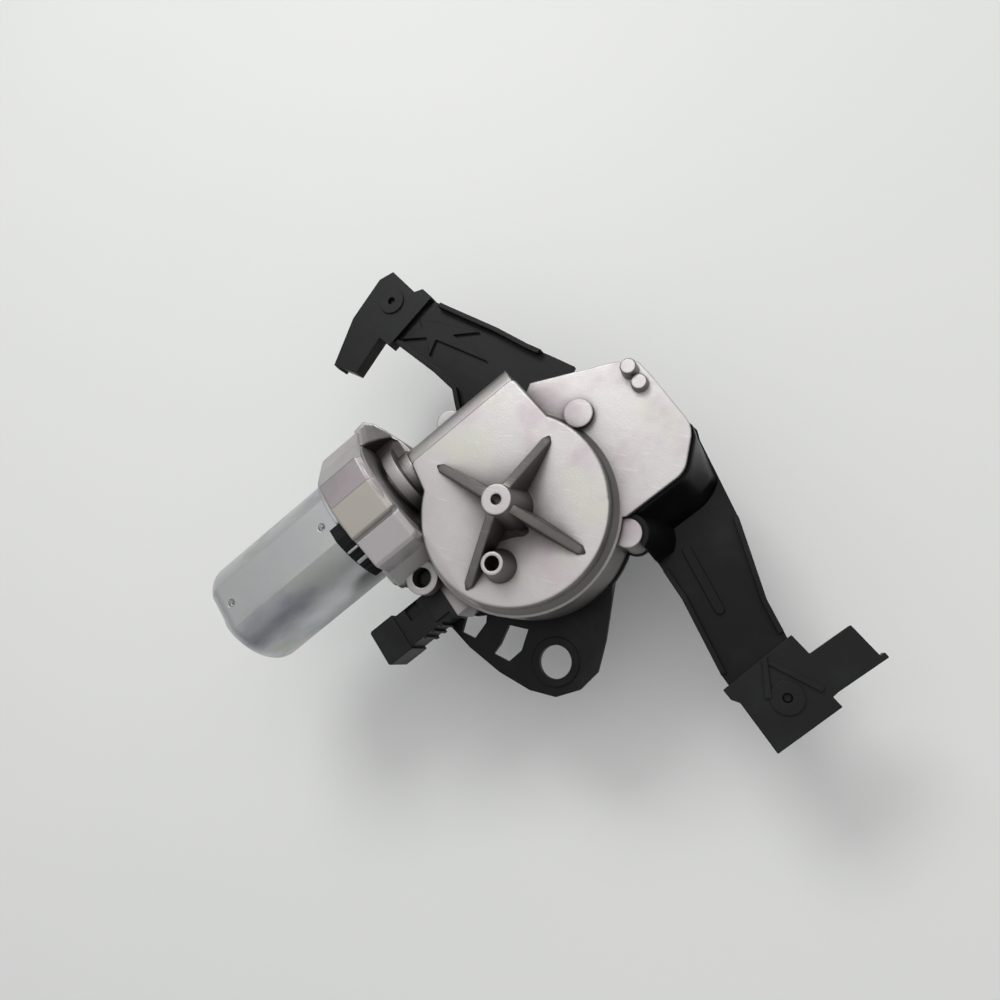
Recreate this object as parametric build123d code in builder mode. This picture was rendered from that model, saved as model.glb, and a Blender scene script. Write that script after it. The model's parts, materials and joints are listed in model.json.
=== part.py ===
from build123d import *
import os
from math import atan, degrees, hypot, pi

os.makedirs("parts", exist_ok=True)

# Wiper motor with worm gear, crank linkage, output spindle and carrier bracket.
# Millimetres. X runs along the motor axis, Y along the bracket arms, Z along the spindle.
# The origin is on the spindle axis, at the middle of its exposed journal.

# Main levels along Z
face_z = 60.0
plate_z = 52.0
open_z = 30.0
sheet_t = 2.5
sheet_z = open_z - sheet_t

# How a solid sits on its place
standing = (Align.CENTER, Align.CENTER, Align.MIN)
hanging = (Align.CENTER, Align.CENTER, Align.MAX)
forward = (Align.MIN, Align.CENTER, Align.CENTER)

# Running and fitting clearances
running = 0.03
seal_gap = 0.08
loose = 0.2

# Worm and wheel
wheel_x = -48.0
wheel_y = 4.0
wheel_centre = (wheel_x, wheel_y)
gear_module = 1.4
wheel_teeth = 50
wheel_pitch_r = gear_module * wheel_teeth / 2
worm_pitch_r = 5.0
centre_distance = wheel_pitch_r + worm_pitch_r
worm_y = wheel_y + centre_distance
worm_z = 47.0
worm_lead = pi * gear_module
worm_tip_r = 6.2
worm_root_r = 3.3
worm_turns = 6
tooth_gap = 0.5
wheel_tip_r = centre_distance - worm_root_r - tooth_gap
wheel_root_r = centre_distance - worm_tip_r - tooth_gap
wheel_w = 7.0
wheel_z0 = worm_z - wheel_w / 2
wheel_z1 = worm_z + wheel_w / 2
wheel_hub_r = 9.0
wheel_rim = 4.5
wheel_recess = 2.4
hub_play = 0.6
pressure_slope = 0.364
thread_thinning = 0.15
thread_sink = 0.9
tooth_thinning = 0.25
worm_l = worm_lead * worm_turns
worm_x0 = wheel_x - worm_l / 2
worm_shoulder = 2.2

# Gear housing: pot, ribbed face, extension plate
wall = 2.8
face_r = 37.0
face_root = 6.0
face_edge_r = 1.0
cove = 2.0
case_r = 40.0
case_bore_r = wheel_tip_r + 0.9
case_bore_top = wheel_z1 + 0.7
face_corner = [(-74, 20), (-70, 45), (-18, 45), (-16, 14)]
face_corner_r = 2.5
plate_outline = [(-30, 33), (-14.4, 42), (15.5, 26.2), (22.0, 21.0), (22.3, 12.4), (21.6, -12.2),
                 (9.0, -23.7), (-17, -23.4), (-30, -16)]
plate_corner_r = 4.0
plate_round_r = 10.0
plate_wall = 3.4
boss_r = 5.5
boss_foot_r = 9.0
boss_top_z = 76.5
rib_angles = [112.9, -68.8, 24.3, -155.7]
rib_reaches = [33.5, 31.5, 28.5, 33.0]
rib_t = 3.0
rib_h = 15.0
rib_tip_h = 1.4
tube_spot = (wheel_x - 15.8, wheel_y - 15.2)
tube_r = 4.2
tube_foot = 2.4
tube_bore_r = 2.8
tube_h = 9.5
axle_r = 4.0
axle_top_z = 70.0
raised_disc = (-7.2, 18.6)
raised_disc_r = 5.6
raised_disc_h = 2.5

# Screws round the open side: two lugs, and one hole in the connector's pad
screw_spots = [(-49.8, 52.6), (-20.5, -28.0), (-88.2, -4.0)]
lug_spots = screw_spots[:2]
lug_r = 5.4
lug_top_z = 50.0
cover_screw_r = 2.4
cover_screw_head_r = 4.4
cover_screw_head_h = 2.6
screw_depth = 11.0

# Two rivet pins on the extension plate
tall_pin = (17.6, 19.4)
short_pin = (17.2, 12.9)
pin_r = 3.1
pin_seat = 2.2
tall_pin_h = 5.5
short_pin_h = 3.2

# Worm tunnel, collar, neck and bell
tunnel_r = 10.5
tunnel_bore_r = 7.6
tunnel_end_x = -19.0
tunnel_end_t = 2.5
bell_x = -103.0
bell_l = 21.5
bell_r = 26.5
bell_bore_r = 20.0
bell_bore_l = 17.0
bell_edge = 1.6
lug_reach = 27.0
lug_end_r = 7.0
neck_r = 11.5
neck_stop = 22.0
collar_r = 16.0
collar_x0 = bell_x + bell_l + 2.0
collar_l = 5.0
web_outline = [(-84, 52), (-84, 76.5), (-78.5, 77.2), (-75.0, 73.0), (-69.5, 58.0), (-68.0, 50.0)]
web_z0 = 41.0
web_z1 = 53.0

# Lug with a hole beside the bell
hole_lug = (-94.2, 7.8)
hole_lug_r = 6.8
hole_lug_bore_r = 4.0
hole_lug_z0 = 46.0
hole_lug_h = 5.2

# Motor can
can_r = 23.1
can_flat = 21.2
can_t = 1.6
can_mouth_x = bell_x
can_end_x = -170.0
can_end_fillet = 6.5
flange_step = 0.9
nose_r = 9.0
nose_l = 6.0
nose_bore_r = 7.0
nose_end_t = 2.0
nose_edge = 2.0
can_screw_r = 2.5
can_screw_l = 18.0
can_screw_head_r = 3.6
can_screw_head_h = 1.8
dimple_back = 9.0
dimple_r = 1.6
notch_side = 26.0
notch_w = 22.0
notch_level = 5.0
notch_h = 20.0
notch_l = 6.5
notch_gap = 0.15

# Brush ring, brushes, armature and magnets
ring_t = 4.0
block_out = 1.3
block_deep = 5.1
spigot_l = 6.0
spigot_t = 2.0
commutator_r = 9.0
commutator_l = 12.0
commutator_back = 3.0
commutator_slot = 0.5
brush_w = 5.0
brush_l = 8.0
brush_t = 5.0
brush_set = 0.7
brush_play = 0.35
brush_mid = commutator_r + brush_l / 2
shaft_r = 4.0
tail_r = 3.2
armature_r = 17.0
slots = 10
core_x0 = can_end_x + 12.0
core_l = 34.0
slot_depth = 4.6
slot_r = 2.4
slot_mouth = 1.6
winding_l = 7.0
winding_r = 13.8
winding_valley = 1.2
air_gap = 0.8
magnet_inset = 5.0
magnet_x0 = can_end_x + 7.5
magnet_l = 47.0
magnet_half = 13.0
shaft_end_x = can_end_x - nose_l + nose_end_t + 0.5
front_bush_x0 = -82.0
front_bush_x1 = -72.0
end_bush_x0 = -31.0
end_bush_x1 = -23.5
thrust_pad_t = 1.5
thrust_play = 0.3
shaft_tip_x = tunnel_end_x - tunnel_end_t - thrust_pad_t - thrust_play

# Linkage
lever_l = 18.0
crank_r = 12.0
lever_z0 = 32.6
lever_t = 3.0
lever_hub_r = 9.5
lever_eye_r = 4.6
rod_z0 = lever_z0 + lever_t + 0.4
rod_t = 2.4
rod_eye_r = 5.2
rod_width = 7.0
link_pin_r = 2.6
pin_head_r = 4.0
lever_pin_tail = 0.6
lever_pin_head = 1.2
crank_pin_head = 1.4
crank_disc_r = 24.0
crank_disc_t = 1.0
crank_disc_z0 = wheel_z0 - 2.0
crank_gap = 0.4
axle_z0 = 38.9
ring_groove = 0.5

# Output spindle, sleeve and bushes
spindle_r = 5.0
spindle_seat_r = 5.6
journal_r = 4.75
journal_z0 = -8.0
knurl_r = 4.3
knurl_z0 = -13.0
thread_r = 3.9
thread_z0 = -27.0
thread_grooves = 9
thread_pitch = 1.25
sleeve_r = 9.5
sleeve_z0 = 6.0
sleeve_step = 1.5
sleeve_step_z0 = 16.0
sleeve_step_z1 = 20.0
sleeve_flange_r = 15.5
sleeve_flange_t = 3.0
sleeve_spigot_r = 8.6
bush_r = 7.0
upper_bush_l = 9.2
lower_bush_l = 10.0
seal_t = 2.8

# Bracket: outline of the pressed sheet, seen from the ribbed side
ear_hole = (-73.9, -46.2)
ear_hole_r = 6.5
left_arm = [(-20, 34), (3.6, 45.6), (-0.3, 54.7), (-5.5, 66.3), (-11.2, 81.7), (-22.4, 106.9),
            (-27.6, 119.6), (-31.9, 124.5), (-33.9, 138.0), (-40.0, 139.5), (-57.5, 134.0), (-53.0, 118.0),
            (-50.3, 107.5), (-44.9, 86.5), (-42.7, 72.9), (-45.9, 65.6), (-48.1, 60.0), (-48.0, 34)]
right_arm = [(-22.6, -20), (-18.8, -33.0), (-20.5, -56.4), (-26.3, -86.5), (-26.6, -93.5), (-25.2, -97.5),
             (-25.4, -115.0), (-2.2, -114.6), (-1.2, -97.0), (0.3, -88.2), (3.2, -74.1), (14.2, -45.6),
             (18.2, -29.2), (22.3, -12.1), (24.0, -8.3), (23.0, 2), (-20, 5)]
ear_outline = [(-88, 8), (-99.5, 2), (-101.6, -9.4), (-99.8, -20.6), (-95.0, -36.1), (-88.8, -48.8),
               (-81.7, -56.9), (-72.4, -60.1), (-62.7, -58.8), (-52.9, -51.0), (-41.9, -40.3),
               (-31.1, -26.7), (-30, 0)]
left_window = [(-93.4, -9.0), (-90.2, -12.4), (-86.4, -14.6), (-88.5, -17.0), (-95.9, -19.2), (-99.1, -13.6)]
right_window = [(-81.2, -23.3), (-75.6, -29.6), (-82.6, -34.6), (-89.5, -35.0), (-93.0, -28.6), (-88.5, -27.3)]
rim_t = 2.0
rim_h = 3.5
rim_span_left = (60.0, 110.0)
rim_span_right = (-86.0, -44.0)
fin_t = 2.0
fin_h = 10.0
fin_l = 31.0
fin_foot = 3.0
fin_start = (-53.0, -49.6)
fin_run = (0.668, 0.744)
seat_w = 3.0
seat_h = 0.6
ramp_foot = 9.5
ramp_h = 19.0
ramp_slope = 21.0
ramp_gap = 0.15
ramp_wall = 2.5
ramp_limit = [(-21, -8), (30, -8), (30, -40), (-21, -40)]
bell_gap = 0.5
bell_cut_half = 22.0
left_star = (-34.0, 103.5)
star_tips = [(-48.0, 110.6), (-36.5, 112.3), (-18.5, 87.0), (-23.5, 73.5), (-42.3, 94.5)]
star_half = 3.6
arm_bead = (-10.0, -55.0)
bead_l = 28.0
bead_w = 3.6
bead_h = 1.3
bead_angle = 80.0

# End clips
left_foot = (-41.0, 128.5)
right_foot = (-12.8, -104.5)
foot_hole_r = 3.3
foot_hole_top = 0.6
foot_wall = 2.0
foot_eye_r = 1.7
foot_eye_wall = 2.6
foot_eye_h = 0.8
foot_pad_r = 6.7
foot_pad_t = 3.0
clip_t = 2.2
clip_corner_r = 0.4
left_clip = [(-25.4, 116.2), (-26.4, 122.6), (-30.2, 124.4), (-32.4, 140.4), (-39.5, 142.2), (-60.3, 135.9),
             (-80.3, 123.4), (-79.6, 119.5), (-78.2, 120.0), (-74.1, 112.2), (-55.5, 118.2), (-54.2, 111.6)]
right_clip = [(-28.9, -90.1), (-28.8, -94.3), (-26.9, -96.9), (-27.3, -117.2), (-0.2, -116.7),
              (-0.6, -112.5), (1.8, -112.2), (22.2, -112.4), (22.1, -110.2), (20.3, -110.5), (19.5, -97.1),
              (2.6, -97.0), (1.9, -88.5)]
clip_ridges = [[(-11.6, -89.6), (-9.4, -89.6), (-17.0, -101.6), (-19.0, -100.4)],
               [(-11.0, -91.6), (-9.0, -91.6), (-0.6, -108.6), (-2.4, -109.4)]]
ridge_h = 1.2

# Connector and its pad
pad_x = -92.0
pad_l = 14.0
connector_x0 = -126.7
connector_y = -2.6
connector_z = 38.5
connector_w = 16.0
connector_h = 14.0
hood_l = 11.7
hood_step = 1.0
root_l = 9.0
foot_flange_t = 2.0
side_rib_xs = (-108.0, -104.0, -100.0)
side_rib_t = 1.2
socket_l = 10.0
socket_wall = 1.5
latch_x = -106.8
latch_shift = 4.0
latch_l = 6.0
latch_w = 5.4
latch_h = 1.8
terminal_shifts = (-4.6, 0.0, 4.6)
terminal_w = 2.0
terminal_t = 0.8
terminal_back = 5.0

# Park contact plate
contact_outer_r = 27.0
contact_t = 1.2
finger_shifts = (14, 19)


def across(x):
    return Plane(origin=(x, worm_y, worm_z), x_dir=(0, 1, 0), z_dir=(1, 0, 0))


def upright(spot, z):
    return (spot[0], spot[1], z)


def draw(points, mode=Mode.ADD):
    Polygon(*points, align=None, mode=mode)


def screw_ears(reach, end_r, middle_r):
    Circle(middle_r)
    with Locations((reach, 0), (-reach, 0)):
        Circle(end_r)
    make_hull()


def plate_shape():
    draw(plate_outline)
    fillet(vertices().filter_by(lambda v: v.X > 0 and v.Y > 0), radius=plate_corner_r)
    fillet(vertices().filter_by(lambda v: v.X > 0 and v.Y < 0), radius=plate_round_r)


# Bell that carries the motor, with its two screw lugs
with BuildPart() as bell:
    with BuildSketch(across(bell_x)):
        screw_ears(lug_reach, lug_end_r, bell_r)
    extrude(amount=bell_l)
    chamfer(faces().sort_by(Axis.X)[-1].edges(), length=bell_edge)

# Gear housing: die-cast pot with ribbed face, worm tunnel, bell and extension plate
with BuildPart() as gear_housing:
    with BuildSketch(Plane.XY.offset(open_z)):
        plate_shape()
        with Locations(wheel_centre):
            Circle(case_r)
    extrude(amount=plate_z - open_z)
    with BuildSketch(Plane.XY.offset(plate_z - face_root)):
        draw(face_corner)
        fillet(vertices().sort_by(Axis.Y)[-2:], radius=face_corner_r)
        with Locations(wheel_centre):
            Circle(face_r)
    extrude(amount=face_z - plate_z + face_root)
    fillet(faces().sort_by(Axis.Z)[-1].edges(), radius=face_edge_r)
    with Locations(upright(wheel_centre, plate_z)):
        Cone(bottom_radius=face_r + cove, top_radius=face_r, height=cove, align=standing)
    # worm tunnel, neck and collar behind the bell
    for x0, x1, radius in ((bell_x, tunnel_end_x, tunnel_r),
                           (bell_x + bell_l, wheel_x - neck_stop, neck_r),
                           (collar_x0, collar_x0 + collar_l, collar_r)):
        with BuildSketch(across(x0)):
            Circle(radius)
        extrude(amount=x1 - x0)
    add(bell.part)
    # web from the outer screw lug back to the pot
    with BuildSketch(Plane.XY.offset(web_z0)):
        draw(web_outline)
    extrude(amount=web_z1 - web_z0)
    # screw lugs round the open side
    for spot in lug_spots:
        with Locations(upright(spot, open_z)):
            Cylinder(lug_r, lug_top_z - open_z, align=standing)
    with Locations(upright(raised_disc, plate_z - 1)):
        Cylinder(raised_disc_r, raised_disc_h + 1, align=standing)
    with Locations(upright(hole_lug, hole_lug_z0)):
        Cylinder(hole_lug_r, hole_lug_h, align=standing)
        Cylinder(hole_lug_bore_r, hole_lug_h, align=standing, mode=Mode.SUBTRACT)
    # flat pad that the connector is fixed to
    with Locations((pad_x, connector_y, open_z)):
        Box(pad_l, connector_w + 2, connector_z + connector_h / 2 - open_z,
            align=(Align.MIN, Align.CENTER, Align.MIN))
    # central boss with four tapering ribs, and the vent tube
    with Locations(upright(wheel_centre, face_z - 1)):
        Cone(bottom_radius=boss_foot_r, top_radius=boss_r, height=boss_top_z - face_z + 1, align=standing)
    for angle, reach in zip(rib_angles, rib_reaches):
        with BuildSketch(Plane(origin=upright(wheel_centre, face_z - 1),
                               x_dir=Vector(1, 0, 0).rotate(Axis.Z, angle),
                               z_dir=Vector(0, -1, 0).rotate(Axis.Z, angle))):
            draw([(0, 0), (reach, 0), (reach, rib_tip_h), (boss_r, rib_h), (0, rib_h)])
        extrude(amount=rib_t / 2, both=True)
    with Locations(upright(tube_spot, face_z - 1)):
        Cone(bottom_radius=tube_r + tube_foot, top_radius=tube_r, height=tube_h + 1, align=standing)
    # inside of the pot
    with Locations(upright(wheel_centre, open_z)):
        Cylinder(case_bore_r, case_bore_top - open_z, align=standing, mode=Mode.SUBTRACT)
        Cylinder(face_r - wall, face_z - wall - open_z, align=standing, mode=Mode.SUBTRACT)
    with BuildSketch(Plane.XY.offset(open_z)):
        draw(plate_outline)
        offset(amount=-plate_wall, kind=Kind.INTERSECTION)
    extrude(amount=plate_z - wall - open_z, mode=Mode.SUBTRACT)
    # hub seat of the wheel axle under the boss
    with Locations(upright(wheel_centre, wheel_z1 + hub_play)):
        Cylinder(boss_foot_r, face_z - 1 - wheel_z1 - hub_play, align=standing)
    with Locations(upright(wheel_centre, wheel_z1)):
        Cylinder(axle_r, axle_top_z - wheel_z1, align=standing, mode=Mode.SUBTRACT)
        Cylinder(axle_r / 2, boss_top_z - wheel_z1 + 1, align=standing, mode=Mode.SUBTRACT)
    with Locations(upright(tube_spot, face_z - wall - 1)):
        Cylinder(tube_bore_r, tube_h + wall + 2, align=standing, mode=Mode.SUBTRACT)
    # bores along the worm axis
    with BuildSketch(across(bell_x)):
        Circle(bell_bore_r)
    extrude(amount=bell_bore_l, mode=Mode.SUBTRACT)
    with BuildSketch(across(bell_x)):
        Circle(tunnel_bore_r)
    extrude(amount=tunnel_end_x - bell_x - tunnel_end_t, mode=Mode.SUBTRACT)
    # holes for the screws and pins
    for spot in screw_spots:
        with Locations(upright(spot, open_z)):
            Cylinder(cover_screw_r, screw_depth, align=standing, mode=Mode.SUBTRACT)
    for side in (-1, 1):
        with BuildSketch(across(bell_x)):
            with Locations((side * lug_reach, 0)):
                Circle(can_screw_r)
        extrude(amount=can_screw_l - can_t, mode=Mode.SUBTRACT)
    for spot in (tall_pin, short_pin):
        with Locations(upright(spot, plate_z - pin_seat)):
            Cylinder(pin_r, pin_seat, align=standing, mode=Mode.SUBTRACT)
gear_housing.part.label = "gear_housing"
export_step(gear_housing.part, "parts/gear_housing.step")

# Motor can: deep-drawn tube with two flats, screw flange, rounded end and bearing nose
with BuildPart() as can_inside:
    with BuildSketch(across(can_mouth_x)):
        Circle(can_r - can_t)
        Rectangle(2 * can_r + 2, 2 * (can_flat - can_t), mode=Mode.INTERSECT)
    extrude(amount=can_end_x - can_mouth_x + can_t)
    fillet(faces().sort_by(Axis.X)[0].edges(), radius=can_end_fillet - can_t)
    with BuildSketch(across(can_mouth_x)):
        Circle(nose_bore_r)
    extrude(amount=can_end_x - nose_l - can_mouth_x + nose_end_t)

with BuildPart() as motor_can:
    with BuildSketch(across(can_mouth_x)):
        Circle(can_r)
        Rectangle(2 * can_r + 2, 2 * can_flat, mode=Mode.INTERSECT)
    extrude(amount=can_end_x - can_mouth_x)
    fillet(faces().sort_by(Axis.X)[0].edges(), radius=can_end_fillet)
    with BuildSketch(across(can_mouth_x - can_t)):
        screw_ears(lug_reach, lug_end_r - flange_step, bell_r - flange_step)
    extrude(amount=can_t)
    with BuildSketch(across(can_end_x + can_t)):
        Circle(nose_r)
    extrude(amount=-nose_l - can_t)
    fillet(faces().sort_by(Axis.X)[0].edges(), radius=nose_edge)
    add(can_inside.part, mode=Mode.SUBTRACT)
    for side in (-1, 1):
        with BuildSketch(across(can_mouth_x)):
            with Locations((side * lug_reach, 0)):
                Circle(can_screw_r + loose)
        extrude(amount=-can_t, mode=Mode.SUBTRACT)
    # notch of the mouth that shows the brush ring
    with Locations((can_mouth_x - notch_l, worm_y - notch_side, worm_z + notch_level)):
        Box(notch_l, notch_w, notch_h, align=(Align.MIN, Align.MIN, Align.MIN), mode=Mode.SUBTRACT)
    # dimples that stake the magnets
    for x in (can_mouth_x - dimple_back, can_end_x + dimple_back):
        with Locations((x, worm_y, worm_z + can_flat)):
            Sphere(dimple_r, mode=Mode.SUBTRACT)
motor_can.part.label = "motor_can"
export_step(motor_can.part, "parts/motor_can.step")

# Brush ring: moulded disc in the can's mouth, with a spigot in the bell and a block in the notch
with BuildPart() as brush_ring:
    with BuildSketch(across(can_mouth_x - ring_t)):
        Circle(can_r - can_t - loose)
        Rectangle(2 * can_r, 2 * (can_flat - can_t - loose), mode=Mode.INTERSECT)
    extrude(amount=ring_t)
    with BuildSketch(across(can_mouth_x - notch_l + notch_gap)):
        Circle(can_r + block_out)
        Rectangle(2 * bell_r, 2 * (can_flat + block_out), mode=Mode.INTERSECT)
        with Locations((-notch_side + notch_w / 2, notch_level + notch_h / 2)):
            Rectangle(notch_w - 2 * notch_gap, notch_h - 2 * notch_gap, mode=Mode.INTERSECT)
        Circle(can_r - block_deep, mode=Mode.SUBTRACT)
    extrude(amount=notch_l - notch_gap)
    with BuildSketch(across(bell_x)):
        Circle(bell_bore_r - loose)
        Circle(bell_bore_r - spigot_t, mode=Mode.SUBTRACT)
    extrude(amount=spigot_l)
    for side in (-1, 1):
        with BuildSketch(across(bell_x)):
            with Locations((0, side * brush_mid)):
                Rectangle(brush_w + 3, brush_l + 4)
                Rectangle(brush_w + loose, brush_l + 5, mode=Mode.SUBTRACT)
        extrude(amount=spigot_l + 0.5)
    with BuildSketch(across(can_mouth_x - notch_l)):
        Circle(commutator_r + 1)
    extrude(amount=notch_l + spigot_l + 1, mode=Mode.SUBTRACT)
brush_ring.part.label = "brush_ring"
export_step(brush_ring.part, "parts/brush_ring.step")

for side, mark in ((-1, "a"), (1, "b")):
    with BuildPart() as brush:
        with Locations((bell_x + brush_set, worm_y, worm_z + side * brush_mid)):
            Box(brush_t, brush_w, brush_l, align=forward)
        with BuildSketch(across(bell_x)):
            Circle(commutator_r + brush_play)
        extrude(amount=spigot_l + brush_t, mode=Mode.SUBTRACT)
    brush.part.label = "carbon_brush_" + mark
    export_step(brush.part, "parts/carbon_brush_" + mark + ".step")

# Screws that hold the can to the bell, with low heads and a hexagon recess
for side, mark in ((-1, "a"), (1, "b")):
    with BuildPart() as can_screw:
        for plane_x, radius, length in ((can_mouth_x - can_t, can_screw_head_r, -can_screw_head_h),
                                        (can_mouth_x - can_t, can_screw_r, can_screw_l - 1)):
            with BuildSketch(across(plane_x)):
                with Locations((side * lug_reach, 0)):
                    Circle(radius)
            extrude(amount=length)
        fillet(faces().sort_by(Axis.X)[0].edges(), radius=can_screw_head_h / 3)
        with BuildSketch(across(can_mouth_x - can_t - can_screw_head_h)):
            with Locations((side * lug_reach, 0)):
                RegularPolygon(can_screw_r * 0.7, 6)
        extrude(amount=can_screw_head_h * 0.8, mode=Mode.SUBTRACT)
    can_screw.part.label = "can_screw_" + mark
    export_step(can_screw.part, "parts/can_screw_" + mark + ".step")

# Field magnets: two arcs bonded inside the round sides of the can
for side, mark in ((-1, "a"), (1, "b")):
    with BuildPart() as magnet:
        with BuildSketch(across(magnet_x0)):
            Circle(can_r - can_t)
            Circle(armature_r + air_gap, mode=Mode.SUBTRACT)
            with Locations((side * (can_r / 2 + magnet_inset), 0)):
                Rectangle(can_r, 2 * magnet_half, mode=Mode.INTERSECT)
        extrude(amount=magnet_l)
    magnet.part.label = "magnet_" + mark
    export_step(magnet.part, "parts/magnet_" + mark + ".step")

# Plain bearings of the armature shaft
for name, x0, x1, bore, outer in (
        ("rear_bearing", can_end_x - nose_l + nose_end_t, can_end_x + 3, shaft_r, nose_bore_r),
        ("front_bearing", front_bush_x0, front_bush_x1, shaft_r, tunnel_bore_r),
        ("worm_end_bearing", end_bush_x0, end_bush_x1, tail_r, tunnel_bore_r)):
    with BuildPart() as bearing:
        with BuildSketch(across(x0)):
            Circle(outer)
            Circle(bore + running, mode=Mode.SUBTRACT)
        extrude(amount=x1 - x0)
    bearing.part.label = name
    export_step(bearing.part, "parts/" + name + ".step")

with BuildPart() as thrust_pad:
    with BuildSketch(across(tunnel_end_x - tunnel_end_t - thrust_pad_t)):
        Circle(tunnel_bore_r - 0.1)
    extrude(amount=thrust_pad_t)
thrust_pad.part.label = "thrust_pad"
export_step(thrust_pad.part, "parts/thrust_pad.step")

# Worm with its core, made upright and laid along the shaft axis
thread_half = gear_module * pi / 4 - thread_thinning
thread_foot = worm_root_r - worm_pitch_r - thread_sink
thread_tip = worm_tip_r - worm_pitch_r
foot_half = thread_half + pressure_slope * (worm_pitch_r - worm_root_r)
tip_half = thread_half - pressure_slope * thread_tip
with BuildPart() as worm_body:
    with BuildLine():
        Helix(pitch=worm_lead, height=worm_l, radius=worm_pitch_r)
    with BuildSketch(Plane(origin=(worm_pitch_r, 0, 0), x_dir=(1, 0, 0), z_dir=(0, 1, 0))):
        draw([(thread_foot, foot_half), (thread_tip, tip_half), (thread_tip, -tip_half), (thread_foot, -foot_half)])
    sweep(is_frenet=True)
    with Locations((0, 0, -worm_shoulder)):
        Cylinder(worm_root_r, worm_l + 2 * worm_shoulder, align=standing)

with BuildPart() as armature_shaft:
    with BuildSketch(across(shaft_end_x)):
        Circle(shaft_r)
    extrude(amount=worm_x0 - worm_shoulder - shaft_end_x)
    with BuildSketch(across(worm_x0 + worm_l + worm_shoulder)):
        Circle(tail_r)
    extrude(amount=shaft_tip_x - worm_x0 - worm_l - worm_shoulder)
    with Locations(across(worm_x0)):
        add(worm_body.part)
armature_shaft.part.label = "armature_shaft"
export_step(armature_shaft.part, "parts/armature_shaft.step")

# Armature core with its slots
with BuildPart() as lamination_stack:
    with BuildSketch(across(core_x0)):
        Circle(armature_r)
        with PolarLocations(armature_r - slot_depth, slots):
            Circle(slot_r, mode=Mode.SUBTRACT)
        with PolarLocations(armature_r - 2, slots):
            Rectangle(6, slot_mouth, mode=Mode.SUBTRACT)
        Circle(shaft_r, mode=Mode.SUBTRACT)
    extrude(amount=core_l)
lamination_stack.part.label = "lamination_stack"
export_step(lamination_stack.part, "parts/lamination_stack.step")

for x0, end, name in ((core_x0 - loose - winding_l, 0, "rear_winding"),
                      (core_x0 + core_l + loose, -1, "front_winding")):
    with BuildPart() as winding:
        with BuildSketch(across(x0)):
            Circle(winding_r)
            Circle(shaft_r + 0.1, mode=Mode.SUBTRACT)
            with PolarLocations(winding_r, slots):
                Circle(winding_valley, mode=Mode.SUBTRACT)
        extrude(amount=winding_l)
        fillet(faces().sort_by(Axis.X)[end].inner_wires()[0].edges(), radius=1)
    winding.part.label = name
    export_step(winding.part, "parts/" + name + ".step")

with BuildPart() as commutator:
    with BuildSketch(across(bell_x - commutator_back)):
        Circle(commutator_r)
        Circle(shaft_r, mode=Mode.SUBTRACT)
        with PolarLocations(commutator_r, slots):
            Rectangle(2.4, commutator_slot, mode=Mode.SUBTRACT)
    extrude(amount=commutator_l)
commutator.part.label = "commutator"
export_step(commutator.part, "parts/commutator.step")

# Worm wheel: one slanted tooth, set round the rim
tooth_half = gear_module * pi / 4 - tooth_thinning
tooth_twist = degrees(wheel_w / 2 * worm_lead / (2 * pi * worm_pitch_r) / wheel_pitch_r)
root_half = tooth_half + pressure_slope * (wheel_pitch_r - wheel_root_r)
crest_half = tooth_half - pressure_slope * (wheel_tip_r - wheel_pitch_r)
tooth_foot = wheel_root_r - tooth_gap
with BuildPart() as wheel_tooth:
    for level, twist in ((-wheel_w / 2, -tooth_twist), (wheel_w / 2, tooth_twist)):
        with BuildSketch(Plane.XY.offset(level).rotated((0, 0, 90 + twist))):
            draw([(tooth_foot, root_half), (wheel_tip_r, crest_half), (wheel_tip_r, -crest_half),
                  (tooth_foot, -root_half)])
    loft()

with BuildPart() as worm_wheel:
    with BuildSketch(Plane.XY.offset(wheel_z0)):
        with Locations(wheel_centre):
            Circle(wheel_root_r)
            Circle(wheel_hub_r, mode=Mode.SUBTRACT)
    extrude(amount=wheel_w)
    with BuildSketch(Plane.XY.offset(wheel_z1)):
        with Locations(wheel_centre):
            Circle(wheel_root_r - wheel_rim)
            Circle(wheel_hub_r + 4, mode=Mode.SUBTRACT)
    extrude(amount=-wheel_recess, mode=Mode.SUBTRACT)
    with BuildSketch(Plane.XY.offset(wheel_z0)):
        with Locations(wheel_centre):
            Circle(crank_disc_r)
            Circle(wheel_hub_r, mode=Mode.SUBTRACT)
    extrude(amount=crank_disc_t, mode=Mode.SUBTRACT)
    with Locations(upright(wheel_centre, worm_z)):
        with PolarLocations(0, wheel_teeth):
            add(wheel_tooth.part)
worm_wheel.part.label = "worm_wheel"
export_step(worm_wheel.part, "parts/worm_wheel.step")

with BuildPart() as wheel_hub:
    with BuildSketch(Plane.XY.offset(crank_disc_z0)):
        with Locations(wheel_centre):
            Circle(wheel_hub_r)
            Circle(axle_r + running, mode=Mode.SUBTRACT)
    extrude(amount=wheel_z1 + hub_play / 2 - crank_disc_z0)
wheel_hub.part.label = "wheel_hub"
export_step(wheel_hub.part, "parts/wheel_hub.step")

with BuildPart() as crank_disc:
    with BuildSketch(Plane.XY.offset(crank_disc_z0)):
        with Locations(wheel_centre):
            Circle(crank_disc_r)
            Circle(wheel_hub_r, mode=Mode.SUBTRACT)
    extrude(amount=crank_disc_t + wheel_z0 - crank_disc_z0)
crank_disc.part.label = "crank_disc"
export_step(crank_disc.part, "parts/crank_disc.step")

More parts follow.
